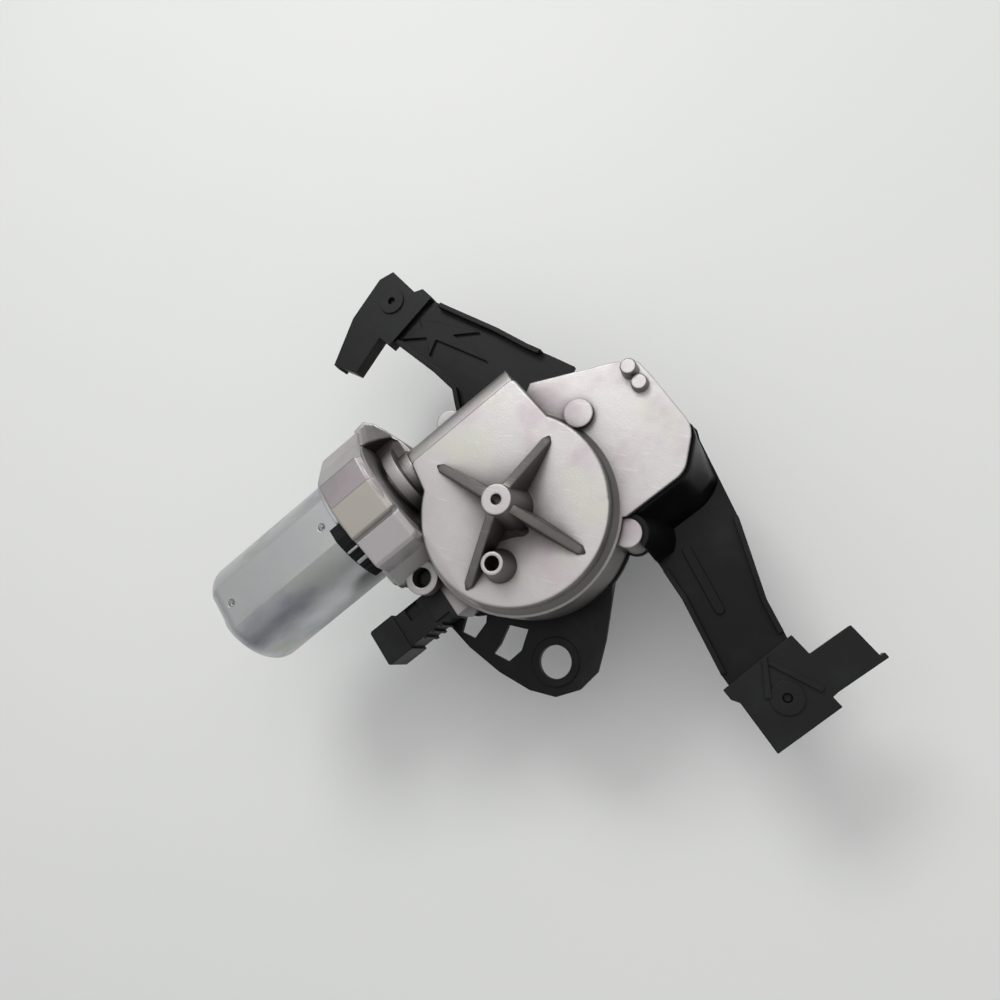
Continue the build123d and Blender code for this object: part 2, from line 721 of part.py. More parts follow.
# Wheel axle with its retaining ring
with BuildPart() as wheel_axle:
    with Locations(upright(wheel_centre, axle_z0)):
        Cylinder(axle_r, axle_top_z - axle_z0, align=standing)
    chamfer(edges().sort_by(Axis.Z)[0], length=0.4)
    with BuildSketch(Plane.XY.offset(crank_disc_z0 - 1.4)):
        with Locations(wheel_centre):
            Circle(axle_r + 1)
            Circle(axle_r - ring_groove, mode=Mode.SUBTRACT)
    extrude(amount=0.8, mode=Mode.SUBTRACT)
wheel_axle.part.label = "wheel_axle"
export_step(wheel_axle.part, "parts/wheel_axle.step")

with BuildPart() as axle_ring:
    with BuildSketch(Plane.XY.offset(crank_disc_z0 - 1.35)):
        with Locations(wheel_centre):
            Circle(axle_r + 2.2)
            Circle(axle_r - ring_groove + 0.1, mode=Mode.SUBTRACT)
        with Locations((wheel_x - axle_r, wheel_y)):
            Rectangle(axle_r + 1, 3.4, mode=Mode.SUBTRACT)
    extrude(amount=0.7)
axle_ring.part.label = "axle_ring"
export_step(axle_ring.part, "parts/axle_ring.step")

# Linkage: lever on the spindle, connecting rod, and the two pins the rod carries
pin_x = wheel_x
pin_y = wheel_y + crank_r
lever_eye = (0, lever_l)
crank_eye = (pin_x, pin_y)
rod_top = rod_z0 + rod_t
rod_l = hypot(pin_x, pin_y - lever_l)
rod_slope = degrees(atan((lever_l - pin_y) / -pin_x))
with BuildPart() as output_lever:
    with BuildSketch(Plane.XY.offset(lever_z0)):
        Circle(lever_hub_r)
        with Locations(lever_eye):
            Circle(lever_eye_r)
        draw([(-lever_hub_r + 1.5, 0), (lever_hub_r - 1.5, 0), (lever_eye_r, lever_l), (-lever_eye_r, lever_l)])
        Circle(spindle_seat_r, mode=Mode.SUBTRACT)
        with Locations(lever_eye):
            Circle(link_pin_r + running, mode=Mode.SUBTRACT)
    extrude(amount=lever_t)
output_lever.part.label = "output_lever"
export_step(output_lever.part, "parts/output_lever.step")

with BuildPart() as connecting_rod:
    with BuildSketch(Plane.XY.offset(rod_z0)):
        with Locations(lever_eye, crank_eye):
            Circle(rod_eye_r)
        with Locations((pin_x / 2, (lever_l + pin_y) / 2)):
            Rectangle(rod_l, rod_width, rotation=rod_slope)
        with Locations(lever_eye, crank_eye):
            Circle(link_pin_r, mode=Mode.SUBTRACT)
    extrude(amount=rod_t)
connecting_rod.part.label = "connecting_rod"
export_step(connecting_rod.part, "parts/connecting_rod.step")

with BuildPart() as lever_pin:
    with Locations(upright(lever_eye, lever_z0 - lever_pin_tail)):
        Cylinder(link_pin_r, rod_top - lever_z0 + lever_pin_tail, align=standing)
    with Locations(upright(lever_eye, rod_top)):
        Cylinder(pin_head_r, lever_pin_head, align=standing)
lever_pin.part.label = "lever_pin"
export_step(lever_pin.part, "parts/lever_pin.step")

with BuildPart() as crank_pin:
    with Locations(upright(crank_eye, rod_z0)):
        Cylinder(pin_head_r, crank_pin_head, align=hanging)
        Cylinder(link_pin_r, crank_disc_z0 - crank_gap - rod_z0, align=standing)
crank_pin.part.label = "crank_pin"
export_step(crank_pin.part, "parts/crank_pin.step")

# Output spindle: seat for the lever, journal, knurled cone and thread
seat_top_z = lever_z0 + lever_t + 0.3
journal_top_z = sleeve_z0 - 2.2
with BuildPart() as output_spindle:
    with BuildSketch(Plane.XZ):
        draw([(0, seat_top_z), (spindle_seat_r, seat_top_z), (spindle_seat_r, lever_z0), (spindle_r, lever_z0),
              (spindle_r, journal_top_z), (journal_r, journal_top_z), (journal_r, journal_z0), (knurl_r, knurl_z0),
              (thread_r, knurl_z0), (thread_r, thread_z0 + 0.8), (thread_r - 0.8, thread_z0), (0, thread_z0)])
    revolve(axis=Axis.Z)
    with BuildSketch(Plane.XY.offset(sleeve_z0 - 1.5)):
        Circle(spindle_r + 1)
        Circle(spindle_r - ring_groove, mode=Mode.SUBTRACT)
    extrude(amount=1.0, mode=Mode.SUBTRACT)
    for turn in range(thread_grooves):
        with BuildSketch(Plane.XY.offset(thread_z0 + 1.6 + turn * thread_pitch)):
            Circle(thread_r + 0.1)
            Circle(thread_r - 0.5, mode=Mode.SUBTRACT)
        extrude(amount=thread_pitch / 2, mode=Mode.SUBTRACT)
output_spindle.part.label = "output_spindle"
export_step(output_spindle.part, "parts/output_spindle.step")

with BuildPart() as spindle_ring:
    with BuildSketch(Plane.XY.offset(sleeve_z0 - 1.4)):
        Circle(spindle_r + 2.4)
        Circle(spindle_r - ring_groove + 0.1, mode=Mode.SUBTRACT)
        with Locations((-spindle_r, 0)):
            Rectangle(spindle_r + 1, 4, mode=Mode.SUBTRACT)
    extrude(amount=0.8)
spindle_ring.part.label = "spindle_ring"
export_step(spindle_ring.part, "parts/spindle_ring.step")

# Spindle sleeve pressed through the bracket, with two bushes and a seal
sleeve_top_z = open_z + 1.2
flange_z = sheet_z - sleeve_flange_t
with BuildPart() as spindle_sleeve:
    with BuildSketch(Plane.XZ):
        draw([(bush_r, sleeve_z0), (sleeve_r, sleeve_z0), (sleeve_r, sleeve_step_z0),
              (sleeve_r + sleeve_step, sleeve_step_z1), (sleeve_r + sleeve_step, flange_z), (sleeve_flange_r, flange_z),
              (sleeve_flange_r, sheet_z), (sleeve_spigot_r, sheet_z), (sleeve_spigot_r, sleeve_top_z),
              (bush_r, sleeve_top_z)])
    revolve(axis=Axis.Z)
spindle_sleeve.part.label = "spindle_sleeve"
export_step(spindle_sleeve.part, "parts/spindle_sleeve.step")

for name, z0, length in (("upper_bush", sleeve_top_z - upper_bush_l, upper_bush_l),
                         ("lower_bush", sleeve_z0 + 3, lower_bush_l)):
    with BuildPart() as bush:
        with BuildSketch(Plane.XY.offset(z0)):
            Circle(bush_r)
            Circle(spindle_r + running, mode=Mode.SUBTRACT)
        extrude(amount=length)
    bush.part.label = name
    export_step(bush.part, "parts/" + name + ".step")

with BuildPart() as spindle_seal:
    with BuildSketch(Plane.XY.offset(sleeve_z0)):
        Circle(bush_r)
        Circle(spindle_r + seal_gap, mode=Mode.SUBTRACT)
    extrude(amount=seal_t)
spindle_seal.part.label = "spindle_seal"
export_step(spindle_seal.part, "parts/spindle_seal.step")

# Collar of the bracket that climbs round the lower right side of the extension plate
with BuildPart() as ramp:
    for inset, how in ((0, Mode.ADD), (ramp_wall, Mode.SUBTRACT)):
        with BuildSketch(Plane.XY.offset(open_z)):
            plate_shape()
            with Locations(lug_spots[1]):
                Circle(lug_r)
            offset(amount=ramp_foot - inset)
        extrude(amount=ramp_h - inset, taper=ramp_slope, mode=how)
    with BuildSketch(Plane.XY.offset(open_z)):
        plate_shape()
        with Locations(lug_spots[1]):
            Circle(lug_r)
        with Locations(wheel_centre):
            Circle(case_r)
        offset(amount=ramp_gap)
    extrude(amount=ramp_h, mode=Mode.SUBTRACT)
    with BuildSketch(Plane.XY.offset(open_z)):
        draw(right_arm)
        draw(ramp_limit, Mode.INTERSECT)
    extrude(amount=ramp_h, mode=Mode.INTERSECT)

# Support bracket: pressed sheet that closes the pot, with two arms and an ear
with BuildPart() as support_bracket:
    with BuildSketch(Plane.XY.offset(sheet_z)):
        draw(plate_outline)
        with Locations(wheel_centre):
            Circle(case_r + 1)
        for outline in (left_arm, right_arm, ear_outline):
            draw(outline)
        with Locations(*screw_spots):
            Circle(lug_r + 0.6)
        with Locations((bell_x + bell_l + bell_gap, worm_y)):
            Rectangle(2 * bell_l, 2 * bell_cut_half, align=(Align.MAX, Align.CENTER), mode=Mode.SUBTRACT)
        Circle(sleeve_spigot_r, mode=Mode.SUBTRACT)
        with Locations(*screw_spots):
            Circle(cover_screw_r + 0.3, mode=Mode.SUBTRACT)
        with Locations(left_foot, right_foot):
            Circle(foot_hole_r + foot_wall, mode=Mode.SUBTRACT)
        with Locations(ear_hole):
            Circle(ear_hole_r, mode=Mode.SUBTRACT)
        for outline in (left_window, right_window):
            draw(outline, Mode.SUBTRACT)
    extrude(amount=sheet_t)
    # turned-up edges of the two arms
    for outline, low, high in ((left_arm, rim_span_left[0], rim_span_left[1]),
                               (right_arm, rim_span_right[0], rim_span_right[1])):
        with BuildSketch(Plane.XY.offset(open_z)):
            draw(outline)
            offset(amount=-rim_t, kind=Kind.INTERSECTION, mode=Mode.SUBTRACT)
            with Locations((wheel_x, (low + high) / 2)):
                Rectangle(4 * case_r, high - low, mode=Mode.INTERSECT)
        extrude(amount=rim_h)
    # star-shaped embossing of the left arm and the bead of the right arm
    with BuildSketch(Plane.XY.offset(open_z)):
        for tip in star_tips:
            reach = hypot(tip[0] - left_star[0], tip[1] - left_star[1])
            across_x = star_half * (tip[1] - left_star[1]) / reach
            across_y = star_half * (left_star[0] - tip[0]) / reach
            draw([(left_star[0] + across_x, left_star[1] + across_y), tip,
                  (left_star[0] - across_x, left_star[1] - across_y)])
        with Locations(arm_bead):
            SlotOverall(bead_l, bead_w, rotation=bead_angle)
    extrude(amount=bead_h)
    # embossed seat round the ear hole
    with BuildSketch(Plane.XY.offset(open_z)):
        with Locations(ear_hole):
            Circle(ear_hole_r + seat_w)
            Circle(ear_hole_r, mode=Mode.SUBTRACT)
    extrude(amount=seat_h)
    # gusset turned down along the ear's right edge
    with BuildSketch(Plane(origin=upright(fin_start, sheet_z), x_dir=(fin_run[0], fin_run[1], 0),
                           z_dir=(fin_run[1], -fin_run[0], 0))):
        draw([(0, 0), (fin_l, 0), (fin_l, -fin_h), (fin_l - fin_foot, -fin_h)])
    extrude(amount=fin_t / 2, both=True)
    add(ramp.part)
support_bracket.part.label = "support_bracket"
export_step(support_bracket.part, "parts/support_bracket.step")

# End clips: moulded shoes that slide over the ends of the two arms
for name, outline, foot, arm in (("left_end_clip", left_clip, left_foot, left_arm),
                                 ("right_end_clip", right_clip, right_foot, right_arm)):
    with BuildPart() as end_clip:
        with BuildSketch(Plane.XY.offset(sheet_z - clip_t)):
            draw(outline)
            fillet(vertices(), radius=clip_corner_r)
        extrude(amount=sheet_t + 2 * clip_t)
        with BuildSketch(Plane.XY.offset(sheet_z)):
            draw(arm)
        extrude(amount=sheet_t, mode=Mode.SUBTRACT)
        for z0, height, radius in ((sheet_z - clip_t - foot_pad_t, foot_pad_t, foot_pad_r),
                                   (sheet_z, sheet_t, foot_hole_r + foot_wall),
                                   (open_z + clip_t, foot_eye_h, foot_hole_r + foot_eye_wall)):
            with Locations(upright(foot, z0)):
                Cylinder(radius, height, align=standing)
        if foot == right_foot:
            for leg in clip_ridges:
                with BuildSketch(Plane.XY.offset(open_z + clip_t)):
                    draw(leg)
                extrude(amount=ridge_h)
        with Locations(upright(foot, open_z + foot_hole_top)):
            Cylinder(foot_hole_r, sheet_t + clip_t + 2 * foot_pad_t, align=hanging, mode=Mode.SUBTRACT)
            Cylinder(foot_eye_r, 2 * foot_pad_t, align=standing, mode=Mode.SUBTRACT)
    end_clip.part.label = name
    export_step(end_clip.part, "parts/" + name + ".step")

# Connector: moulded box with an open socket, a deeper hood, side ribs and a flange
with BuildPart() as connector_housing:
    with Locations((connector_x0, connector_y, connector_z)):
        Box(hood_l, connector_w, connector_h, align=forward)
        Box(pad_x - connector_x0, connector_w - 2 * hood_step, connector_h - 2 * hood_step, align=forward)
    fillet(faces().sort_by(Axis.X)[0].edges().filter_by(Axis.Z), radius=hood_step)
    with Locations((pad_x - root_l, connector_y, connector_z)):
        Box(root_l, connector_w - 5, connector_h, align=forward)
    with Locations((pad_x - foot_flange_t, connector_y, connector_z)):
        Box(foot_flange_t, connector_w + 0.6, connector_h, align=forward)
    for x in side_rib_xs:
        with Locations((x, connector_y - connector_w / 2, connector_z)):
            Box(side_rib_t, 2 * hood_step, connector_h - 2 * hood_step,
                align=(Align.CENTER, Align.MIN, Align.CENTER))
    with Locations((latch_x, connector_y + latch_shift, connector_z + connector_h / 2 - hood_step)):
        Box(latch_l, latch_w, latch_h, align=(Align.CENTER, Align.CENTER, Align.MAX), mode=Mode.SUBTRACT)
    with Locations((connector_x0, connector_y, connector_z)):
        Box(socket_l, connector_w - 2 * socket_wall, connector_h - 2 * socket_wall, align=forward, mode=Mode.SUBTRACT)
    for shift in terminal_shifts:
        with Locations((connector_x0 + socket_l, connector_y + shift, connector_z)):
            Box(pad_x - connector_x0 - socket_l, terminal_w, terminal_t, align=forward, mode=Mode.SUBTRACT)
connector_housing.part.label = "connector_housing"
export_step(connector_housing.part, "parts/connector_housing.step")

for index, shift in enumerate(terminal_shifts):
    with BuildPart() as terminal:
        with Locations((connector_x0 + terminal_back, connector_y + shift, connector_z)):
            Box(pad_x - connector_x0 - terminal_back, terminal_w, terminal_t, align=forward)
        chamfer(faces().sort_by(Axis.X)[0].edges(), length=0.25)
    terminal.part.label = "terminal_" + str(index + 1)
    export_step(terminal.part, "parts/terminal_" + str(index + 1) + ".step")

# Screws that hold the bracket to the housing
for index, spot in enumerate(screw_spots):
    with BuildPart() as cover_screw:
        with Locations(upright(spot, sheet_z)):
            Cylinder(cover_screw_r, sheet_t + screw_depth - 1, align=standing)
            Cylinder(cover_screw_head_r, cover_screw_head_h, align=hanging)
        fillet(edges().sort_by(Axis.Z)[0], radius=0.8)
        with BuildSketch(Plane.XY.offset(sheet_z - cover_screw_head_h)):
            with Locations(spot):
                RegularPolygon(cover_screw_head_r / 2, 6)
        extrude(amount=cover_screw_head_h * 0.6, mode=Mode.SUBTRACT)
    cover_screw.part.label = "cover_screw_" + str(index + 1)
    export_step(cover_screw.part, "parts/cover_screw_" + str(index + 1) + ".step")

# Two rivet pins on the extension plate
for name, spot, height in (("tall_rivet", tall_pin, tall_pin_h), ("short_rivet", short_pin, short_pin_h)):
    with BuildPart() as rivet:
        with Locations(upright(spot, plate_z - pin_seat)):
            Cylinder(pin_r, pin_seat + height, align=standing)
        chamfer(edges().sort_by(Axis.Z)[-1], length=0.4)
    rivet.part.label = name
    export_step(rivet.part, "parts/" + name + ".step")

# Park contact plate on the ceiling of the pot, with two spring fingers
contact_z = face_z - wall - contact_t
with BuildPart() as contact_plate:
    with BuildSketch(Plane.XY.offset(contact_z)):
        with Locations(wheel_centre):
            Circle(contact_outer_r)
            Circle(wheel_hub_r + 2, mode=Mode.SUBTRACT)
        with Locations((wheel_x - contact_outer_r, wheel_y)):
            Rectangle(contact_outer_r * 2, contact_outer_r * 4, mode=Mode.SUBTRACT)
        with Locations(tube_spot):
            Circle(tube_bore_r + 1, mode=Mode.SUBTRACT)
    extrude(amount=contact_t)
    for shift in finger_shifts:
        with Locations((wheel_x + shift, wheel_y, contact_z)):
            Box(2.6, 7, 2.0, align=hanging)
contact_plate.part.label = "contact_plate"
export_step(contact_plate.part, "parts/contact_plate.step")
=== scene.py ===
import json
import math
import bmesh
import bpy
from mathutils import Matrix, Vector


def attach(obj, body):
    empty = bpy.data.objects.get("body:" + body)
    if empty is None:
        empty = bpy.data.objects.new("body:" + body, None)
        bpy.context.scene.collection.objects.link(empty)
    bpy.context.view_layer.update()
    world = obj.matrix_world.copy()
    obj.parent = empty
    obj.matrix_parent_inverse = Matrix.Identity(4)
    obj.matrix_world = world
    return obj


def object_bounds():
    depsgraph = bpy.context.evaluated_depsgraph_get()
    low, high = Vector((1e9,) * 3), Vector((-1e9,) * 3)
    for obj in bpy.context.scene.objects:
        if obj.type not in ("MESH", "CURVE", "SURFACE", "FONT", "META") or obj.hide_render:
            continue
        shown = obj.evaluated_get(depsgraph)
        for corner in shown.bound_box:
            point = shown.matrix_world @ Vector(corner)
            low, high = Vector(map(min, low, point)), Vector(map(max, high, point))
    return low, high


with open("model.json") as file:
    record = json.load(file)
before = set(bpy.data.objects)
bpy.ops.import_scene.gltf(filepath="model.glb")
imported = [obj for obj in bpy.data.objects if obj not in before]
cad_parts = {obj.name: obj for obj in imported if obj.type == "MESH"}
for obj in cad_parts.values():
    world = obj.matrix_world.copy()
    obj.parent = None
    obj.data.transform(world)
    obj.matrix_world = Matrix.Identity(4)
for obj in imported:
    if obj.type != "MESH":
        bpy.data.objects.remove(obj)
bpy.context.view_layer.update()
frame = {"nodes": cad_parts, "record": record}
nodes = frame["nodes"]
print("frame loaded:", len(nodes), "nodes")


# small helpers for node trees


def newMaterial(name):
    material = bpy.data.materials.new(name)
    material.use_nodes = True
    tree = material.node_tree
    shader = next(n for n in tree.nodes if n.type == "BSDF_PRINCIPLED")
    return material, tree, shader


def addNode(tree, kind, **values):
    node = tree.nodes.new(kind)
    for key, value in values.items():
        setattr(node, key, value)
    return node


def setInputs(node, values):
    for key, value in values.items():
        node.inputs[key].default_value = value


def newGroup(name, inputs, outputs):
    group = bpy.data.node_groups.new(name, "ShaderNodeTree")
    for label, default in inputs:
        kind = "NodeSocketColor" if isinstance(default, tuple) else "NodeSocketFloat"
        socket = group.interface.new_socket(name=label, in_out="INPUT", socket_type=kind)
        socket.default_value = default
    for label, kind in outputs:
        group.interface.new_socket(name=label, in_out="OUTPUT", socket_type=kind)
    source = group.nodes.new("NodeGroupInput")
    sink = group.nodes.new("NodeGroupOutput")
    return group, source, sink


def useGroup(tree, group, values):
    node = tree.nodes.new("ShaderNodeGroup")
    node.node_tree = group
    setInputs(node, values)
    return node


def mathNode(tree, operation, first, second=None, clamp=False):
    node = addNode(tree, "ShaderNodeMath", operation=operation, use_clamp=clamp)
    for index, value in enumerate((first, second)):
        if value is None:
            continue
        if isinstance(value, (int, float)):
            node.inputs[index].default_value = value
        else:
            tree.links.new(value, node.inputs[index])
    return node.outputs[0]


def mixColour(tree, factor, first, second):
    node = addNode(tree, "ShaderNodeMix", data_type="RGBA")
    for socket, value in ((node.inputs[0], factor), (node.inputs[6], first), (node.inputs[7], second)):
        if isinstance(value, (int, float, tuple)):
            socket.default_value = value
        else:
            tree.links.new(value, socket)
    return node.outputs[2]


def bumpFrom(tree, height, strength, distance, edgeRadius=0.0):
    node = addNode(tree, "ShaderNodeBump")
    setInputs(node, {"Strength": strength, "Distance": distance})
    tree.links.new(height, node.inputs["Height"])
    if edgeRadius > 0.0:
        softEdge = addNode(tree, "ShaderNodeBevel", samples=6)
        setInputs(softEdge, {"Radius": edgeRadius})
        tree.links.new(softEdge.outputs["Normal"], node.inputs["Normal"])
    return node.outputs["Normal"]


def roughnessFrom(tree, shader, mask, low, high):
    rough = addNode(tree, "ShaderNodeMapRange")
    tree.links.new(mask, rough.inputs["Value"])
    setInputs(rough, {"To Min": low, "To Max": high})
    tree.links.new(rough.outputs[0], shader.inputs["Roughness"])


# effects that several finishes share


def buildBlotches():
    group, source, sink = newGroup("blotches", [("Scale", 60.0), ("Low", 0.4), ("High", 0.65), ("Stretch", 1.0)],
                                   [("Mask", "NodeSocketFloat")])
    links = group.links
    place = addNode(group, "ShaderNodeTexCoord")
    mapping = addNode(group, "ShaderNodeMapping")
    combine = addNode(group, "ShaderNodeCombineXYZ")
    links.new(source.outputs["Stretch"], combine.inputs["X"])
    setInputs(combine, {"Y": 1.0, "Z": 1.0})
    links.new(place.outputs["Object"], mapping.inputs["Vector"])
    links.new(combine.outputs[0], mapping.inputs["Scale"])
    noise = addNode(group, "ShaderNodeTexNoise")
    setInputs(noise, {"Detail": 5.0, "Roughness": 0.6})
    links.new(mapping.outputs[0], noise.inputs["Vector"])
    links.new(source.outputs["Scale"], noise.inputs["Scale"])
    ramp = addNode(group, "ShaderNodeMapRange", interpolation_type="SMOOTHSTEP")
    links.new(noise.outputs["Fac"], ramp.inputs["Value"])
    links.new(source.outputs["Low"], ramp.inputs["From Min"])
    links.new(source.outputs["High"], ramp.inputs["From Max"])
    links.new(ramp.outputs[0], sink.inputs["Mask"])
    return group


def buildGrain():
    group, source, sink = newGroup("surfaceGrain",
                                   [("Scale", 900.0), ("Coarse Scale", 160.0), ("Coarse Share", 0.4)],
                                   [("Height", "NodeSocketFloat")])
    links = group.links
    place = addNode(group, "ShaderNodeTexCoord")
    fine = addNode(group, "ShaderNodeTexNoise")
    coarse = addNode(group, "ShaderNodeTexNoise")
    for noise, label in ((fine, "Scale"), (coarse, "Coarse Scale")):
        setInputs(noise, {"Detail": 3.0})
        links.new(place.outputs["Object"], noise.inputs["Vector"])
        links.new(source.outputs[label], noise.inputs["Scale"])
    coarsePart = mathNode(group, "MULTIPLY", coarse.outputs["Fac"], source.outputs["Coarse Share"])
    links.new(mathNode(group, "ADD", fine.outputs["Fac"], coarsePart), sink.inputs["Height"])
    return group


def buildDrawLines():
    group, source, sink = newGroup("drawLines", [("Across", 1400.0), ("Along", 12.0)],
                                   [("Height", "NodeSocketFloat")])
    links = group.links
    place = addNode(group, "ShaderNodeTexCoord")
    mapping = addNode(group, "ShaderNodeMapping")
    combine = addNode(group, "ShaderNodeCombineXYZ")
    links.new(source.outputs["Along"], combine.inputs["X"])
    links.new(source.outputs["Across"], combine.inputs["Y"])
    links.new(source.outputs["Across"], combine.inputs["Z"])
    links.new(place.outputs["Object"], mapping.inputs["Vector"])
    links.new(combine.outputs[0], mapping.inputs["Scale"])
    noise = addNode(group, "ShaderNodeTexNoise")
    setInputs(noise, {"Scale": 1.0, "Detail": 2.0})
    links.new(mapping.outputs[0], noise.inputs["Vector"])
    links.new(noise.outputs["Fac"], sink.inputs["Height"])
    return group


# painted shade and grime: darker where ambient occlusion finds creases and recesses
def buildRecessShadeAndGrime():
    group, source, sink = newGroup("recessShadeAndGrime", [("Reach", 0.006), ("Low", 0.35), ("High", 0.95)],
                                   [("Mask", "NodeSocketFloat")])
    links = group.links
    shade = addNode(group, "ShaderNodeAmbientOcclusion", samples=8, only_local=True)
    links.new(source.outputs["Reach"], shade.inputs["Distance"])
    ramp = addNode(group, "ShaderNodeMapRange", interpolation_type="SMOOTHSTEP")
    links.new(shade.outputs["AO"], ramp.inputs["Value"])
    links.new(source.outputs["Low"], ramp.inputs["From Min"])
    links.new(source.outputs["High"], ramp.inputs["From Max"])
    setInputs(ramp, {"To Min": 1.0, "To Max": 0.0})
    links.new(ramp.outputs[0], sink.inputs["Mask"])
    return group


# painted shade on sloping and upright faces, from the Z of the normal
def buildSlopeShade():
    group, source, sink = newGroup("slopeShade", [("Low", 0.7), ("High", 1.0), ("Start X", -0.08)],
                                   [("Mask", "NodeSocketFloat"), ("Behind", "NodeSocketFloat")])
    links = group.links
    place = addNode(group, "ShaderNodeTexCoord")
    split = addNode(group, "ShaderNodeSeparateXYZ")
    links.new(place.outputs["Normal"], split.inputs[0])
    ramp = addNode(group, "ShaderNodeMapRange", interpolation_type="SMOOTHSTEP")
    links.new(mathNode(group, "ABSOLUTE", split.outputs["Z"]), ramp.inputs["Value"])
    links.new(source.outputs["Low"], ramp.inputs["From Min"])
    links.new(source.outputs["High"], ramp.inputs["From Max"])
    setInputs(ramp, {"To Min": 1.0, "To Max": 0.0})
    # the bell behind Start X gets no painted wall shade; the Behind output marks it for its own painted light and
    # shade
    where = addNode(group, "ShaderNodeSeparateXYZ")
    links.new(place.outputs["Object"], where.inputs[0])
    front = addNode(group, "ShaderNodeMapRange")
    links.new(where.outputs["X"], front.inputs["Value"])
    links.new(source.outputs["Start X"], front.inputs["From Min"])
    links.new(mathNode(group, "ADD", source.outputs["Start X"], 0.002), front.inputs["From Max"])
    links.new(mathNode(group, "MULTIPLY", ramp.outputs[0], front.outputs[0]), sink.inputs["Mask"])
    links.new(mathNode(group, "SUBTRACT", 1.0, front.outputs[0]), sink.inputs["Behind"])
    return group


def buildScuffs():
    group, source, sink = newGroup("scuffs", [("Scale", 90.0), ("Stretch", 12.0), ("Low", 0.6), ("High", 0.75)],
                                   [("Mask", "NodeSocketFloat")])
    links = group.links
    place = addNode(group, "ShaderNodeTexCoord")
    turned = addNode(group, "ShaderNodeVectorRotate", rotation_type="Z_AXIS")
    setInputs(turned, {"Angle": 0.9})
    combine = addNode(group, "ShaderNodeCombineXYZ")
    setInputs(combine, {"X": 1.0, "Z": 1.0})
    links.new(source.outputs["Stretch"], combine.inputs["Y"])
    mapping = addNode(group, "ShaderNodeMapping")
    noise = addNode(group, "ShaderNodeTexNoise")
    setInputs(noise, {"Detail": 3.0, "Roughness": 0.55})
    ramp = addNode(group, "ShaderNodeMapRange", interpolation_type="SMOOTHSTEP")
    links.new(place.outputs["Object"], turned.inputs["Vector"])
    links.new(turned.outputs[0], mapping.inputs["Vector"])
    links.new(combine.outputs[0], mapping.inputs["Scale"])
    links.new(mapping.outputs[0], noise.inputs["Vector"])
    links.new(source.outputs["Scale"], noise.inputs["Scale"])
    links.new(noise.outputs["Fac"], ramp.inputs["Value"])
    links.new(source.outputs["Low"], ramp.inputs["From Min"])
    links.new(source.outputs["High"], ramp.inputs["From Max"])
    links.new(ramp.outputs[0], sink.inputs["Mask"])
    return group


blotches = buildBlotches()
surfaceGrain = buildGrain()
drawLines = buildDrawLines()
recessShadeAndGrime = buildRecessShadeAndGrime()
slopeShade = buildSlopeShade()
scuffs = buildScuffs()
print("shared effects built")


# finishes of the fixed castings and pressings

castSettings = {
    "light": (0.54, 0.52, 0.515, 1.0),
    "warm": (0.54, 0.485, 0.505, 1.0),
    "cool": (0.54, 0.545, 0.47, 1.0),
    "scuff": (0.70, 0.69, 0.68, 1.0),
    "wall": (0.19, 0.182, 0.176, 1.0),   # painted shade on the sloping and upright walls
    # painted light and shade: one flat tone over the bell behind Start X
    "bellLightAndShade": (0.41, 0.38, 0.39, 1.0),
    # painted shade and grime in recesses
    "shadeAndGrime": (0.05, 0.042, 0.037, 1.0),
    "roughness": (0.38, 0.55),
    "metallic": 0.70,
    "bump": 0.16,
    "bumpDistance": 0.0003,
    "edgeRadius": 0.0009,
    "warmMask": {"Scale": 38.0, "Low": 0.42, "High": 0.66},
    "coolMask": {"Scale": 23.0, "Low": 0.50, "High": 0.70, "Stretch": 1.7},
    "shadeAndGrimeMask": {"Reach": 0.016, "Low": 0.38, "High": 1.0},
    "scuffMask": {"Scale": 90.0, "Stretch": 12.0, "Low": 0.60, "High": 0.74},
    "wallShadeMask": {"Low": 0.70, "High": 0.995, "Start X": -0.082},
    "grain": {"Scale": 1500.0, "Coarse Scale": 240.0, "Coarse Share": 0.8},
    "shares": {"scuff": 0.4, "bellLightAndShade": 0.6, "wall": 0.85, "shadeAndGrime": 0.85},
}

# the same cast finish, made dark as painted shade and painted shadow
paintedShadowSettings = dict(castSettings, light=(0.085, 0.076, 0.070, 1.0), warm=(0.07, 0.06, 0.055, 1.0),
                     cool=(0.11, 0.105, 0.10, 1.0), scuff=(0.20, 0.19, 0.18, 1.0),
                     bellLightAndShade=(0.08, 0.07, 0.065, 1.0), wall=(0.05, 0.044, 0.04, 1.0), metallic=0.4)

# the star's ribs take a darker copy of the cast finish, painted shade that makes them darker than the face that
# they stand on
ribShadeSettings = dict(castSettings, light=(0.27, 0.258, 0.246, 1.0), warm=(0.20, 0.185, 0.176, 1.0),
                       cool=(0.31, 0.295, 0.28, 1.0), scuff=(0.46, 0.44, 0.42, 1.0), wall=(0.10, 0.09, 0.083, 1.0))


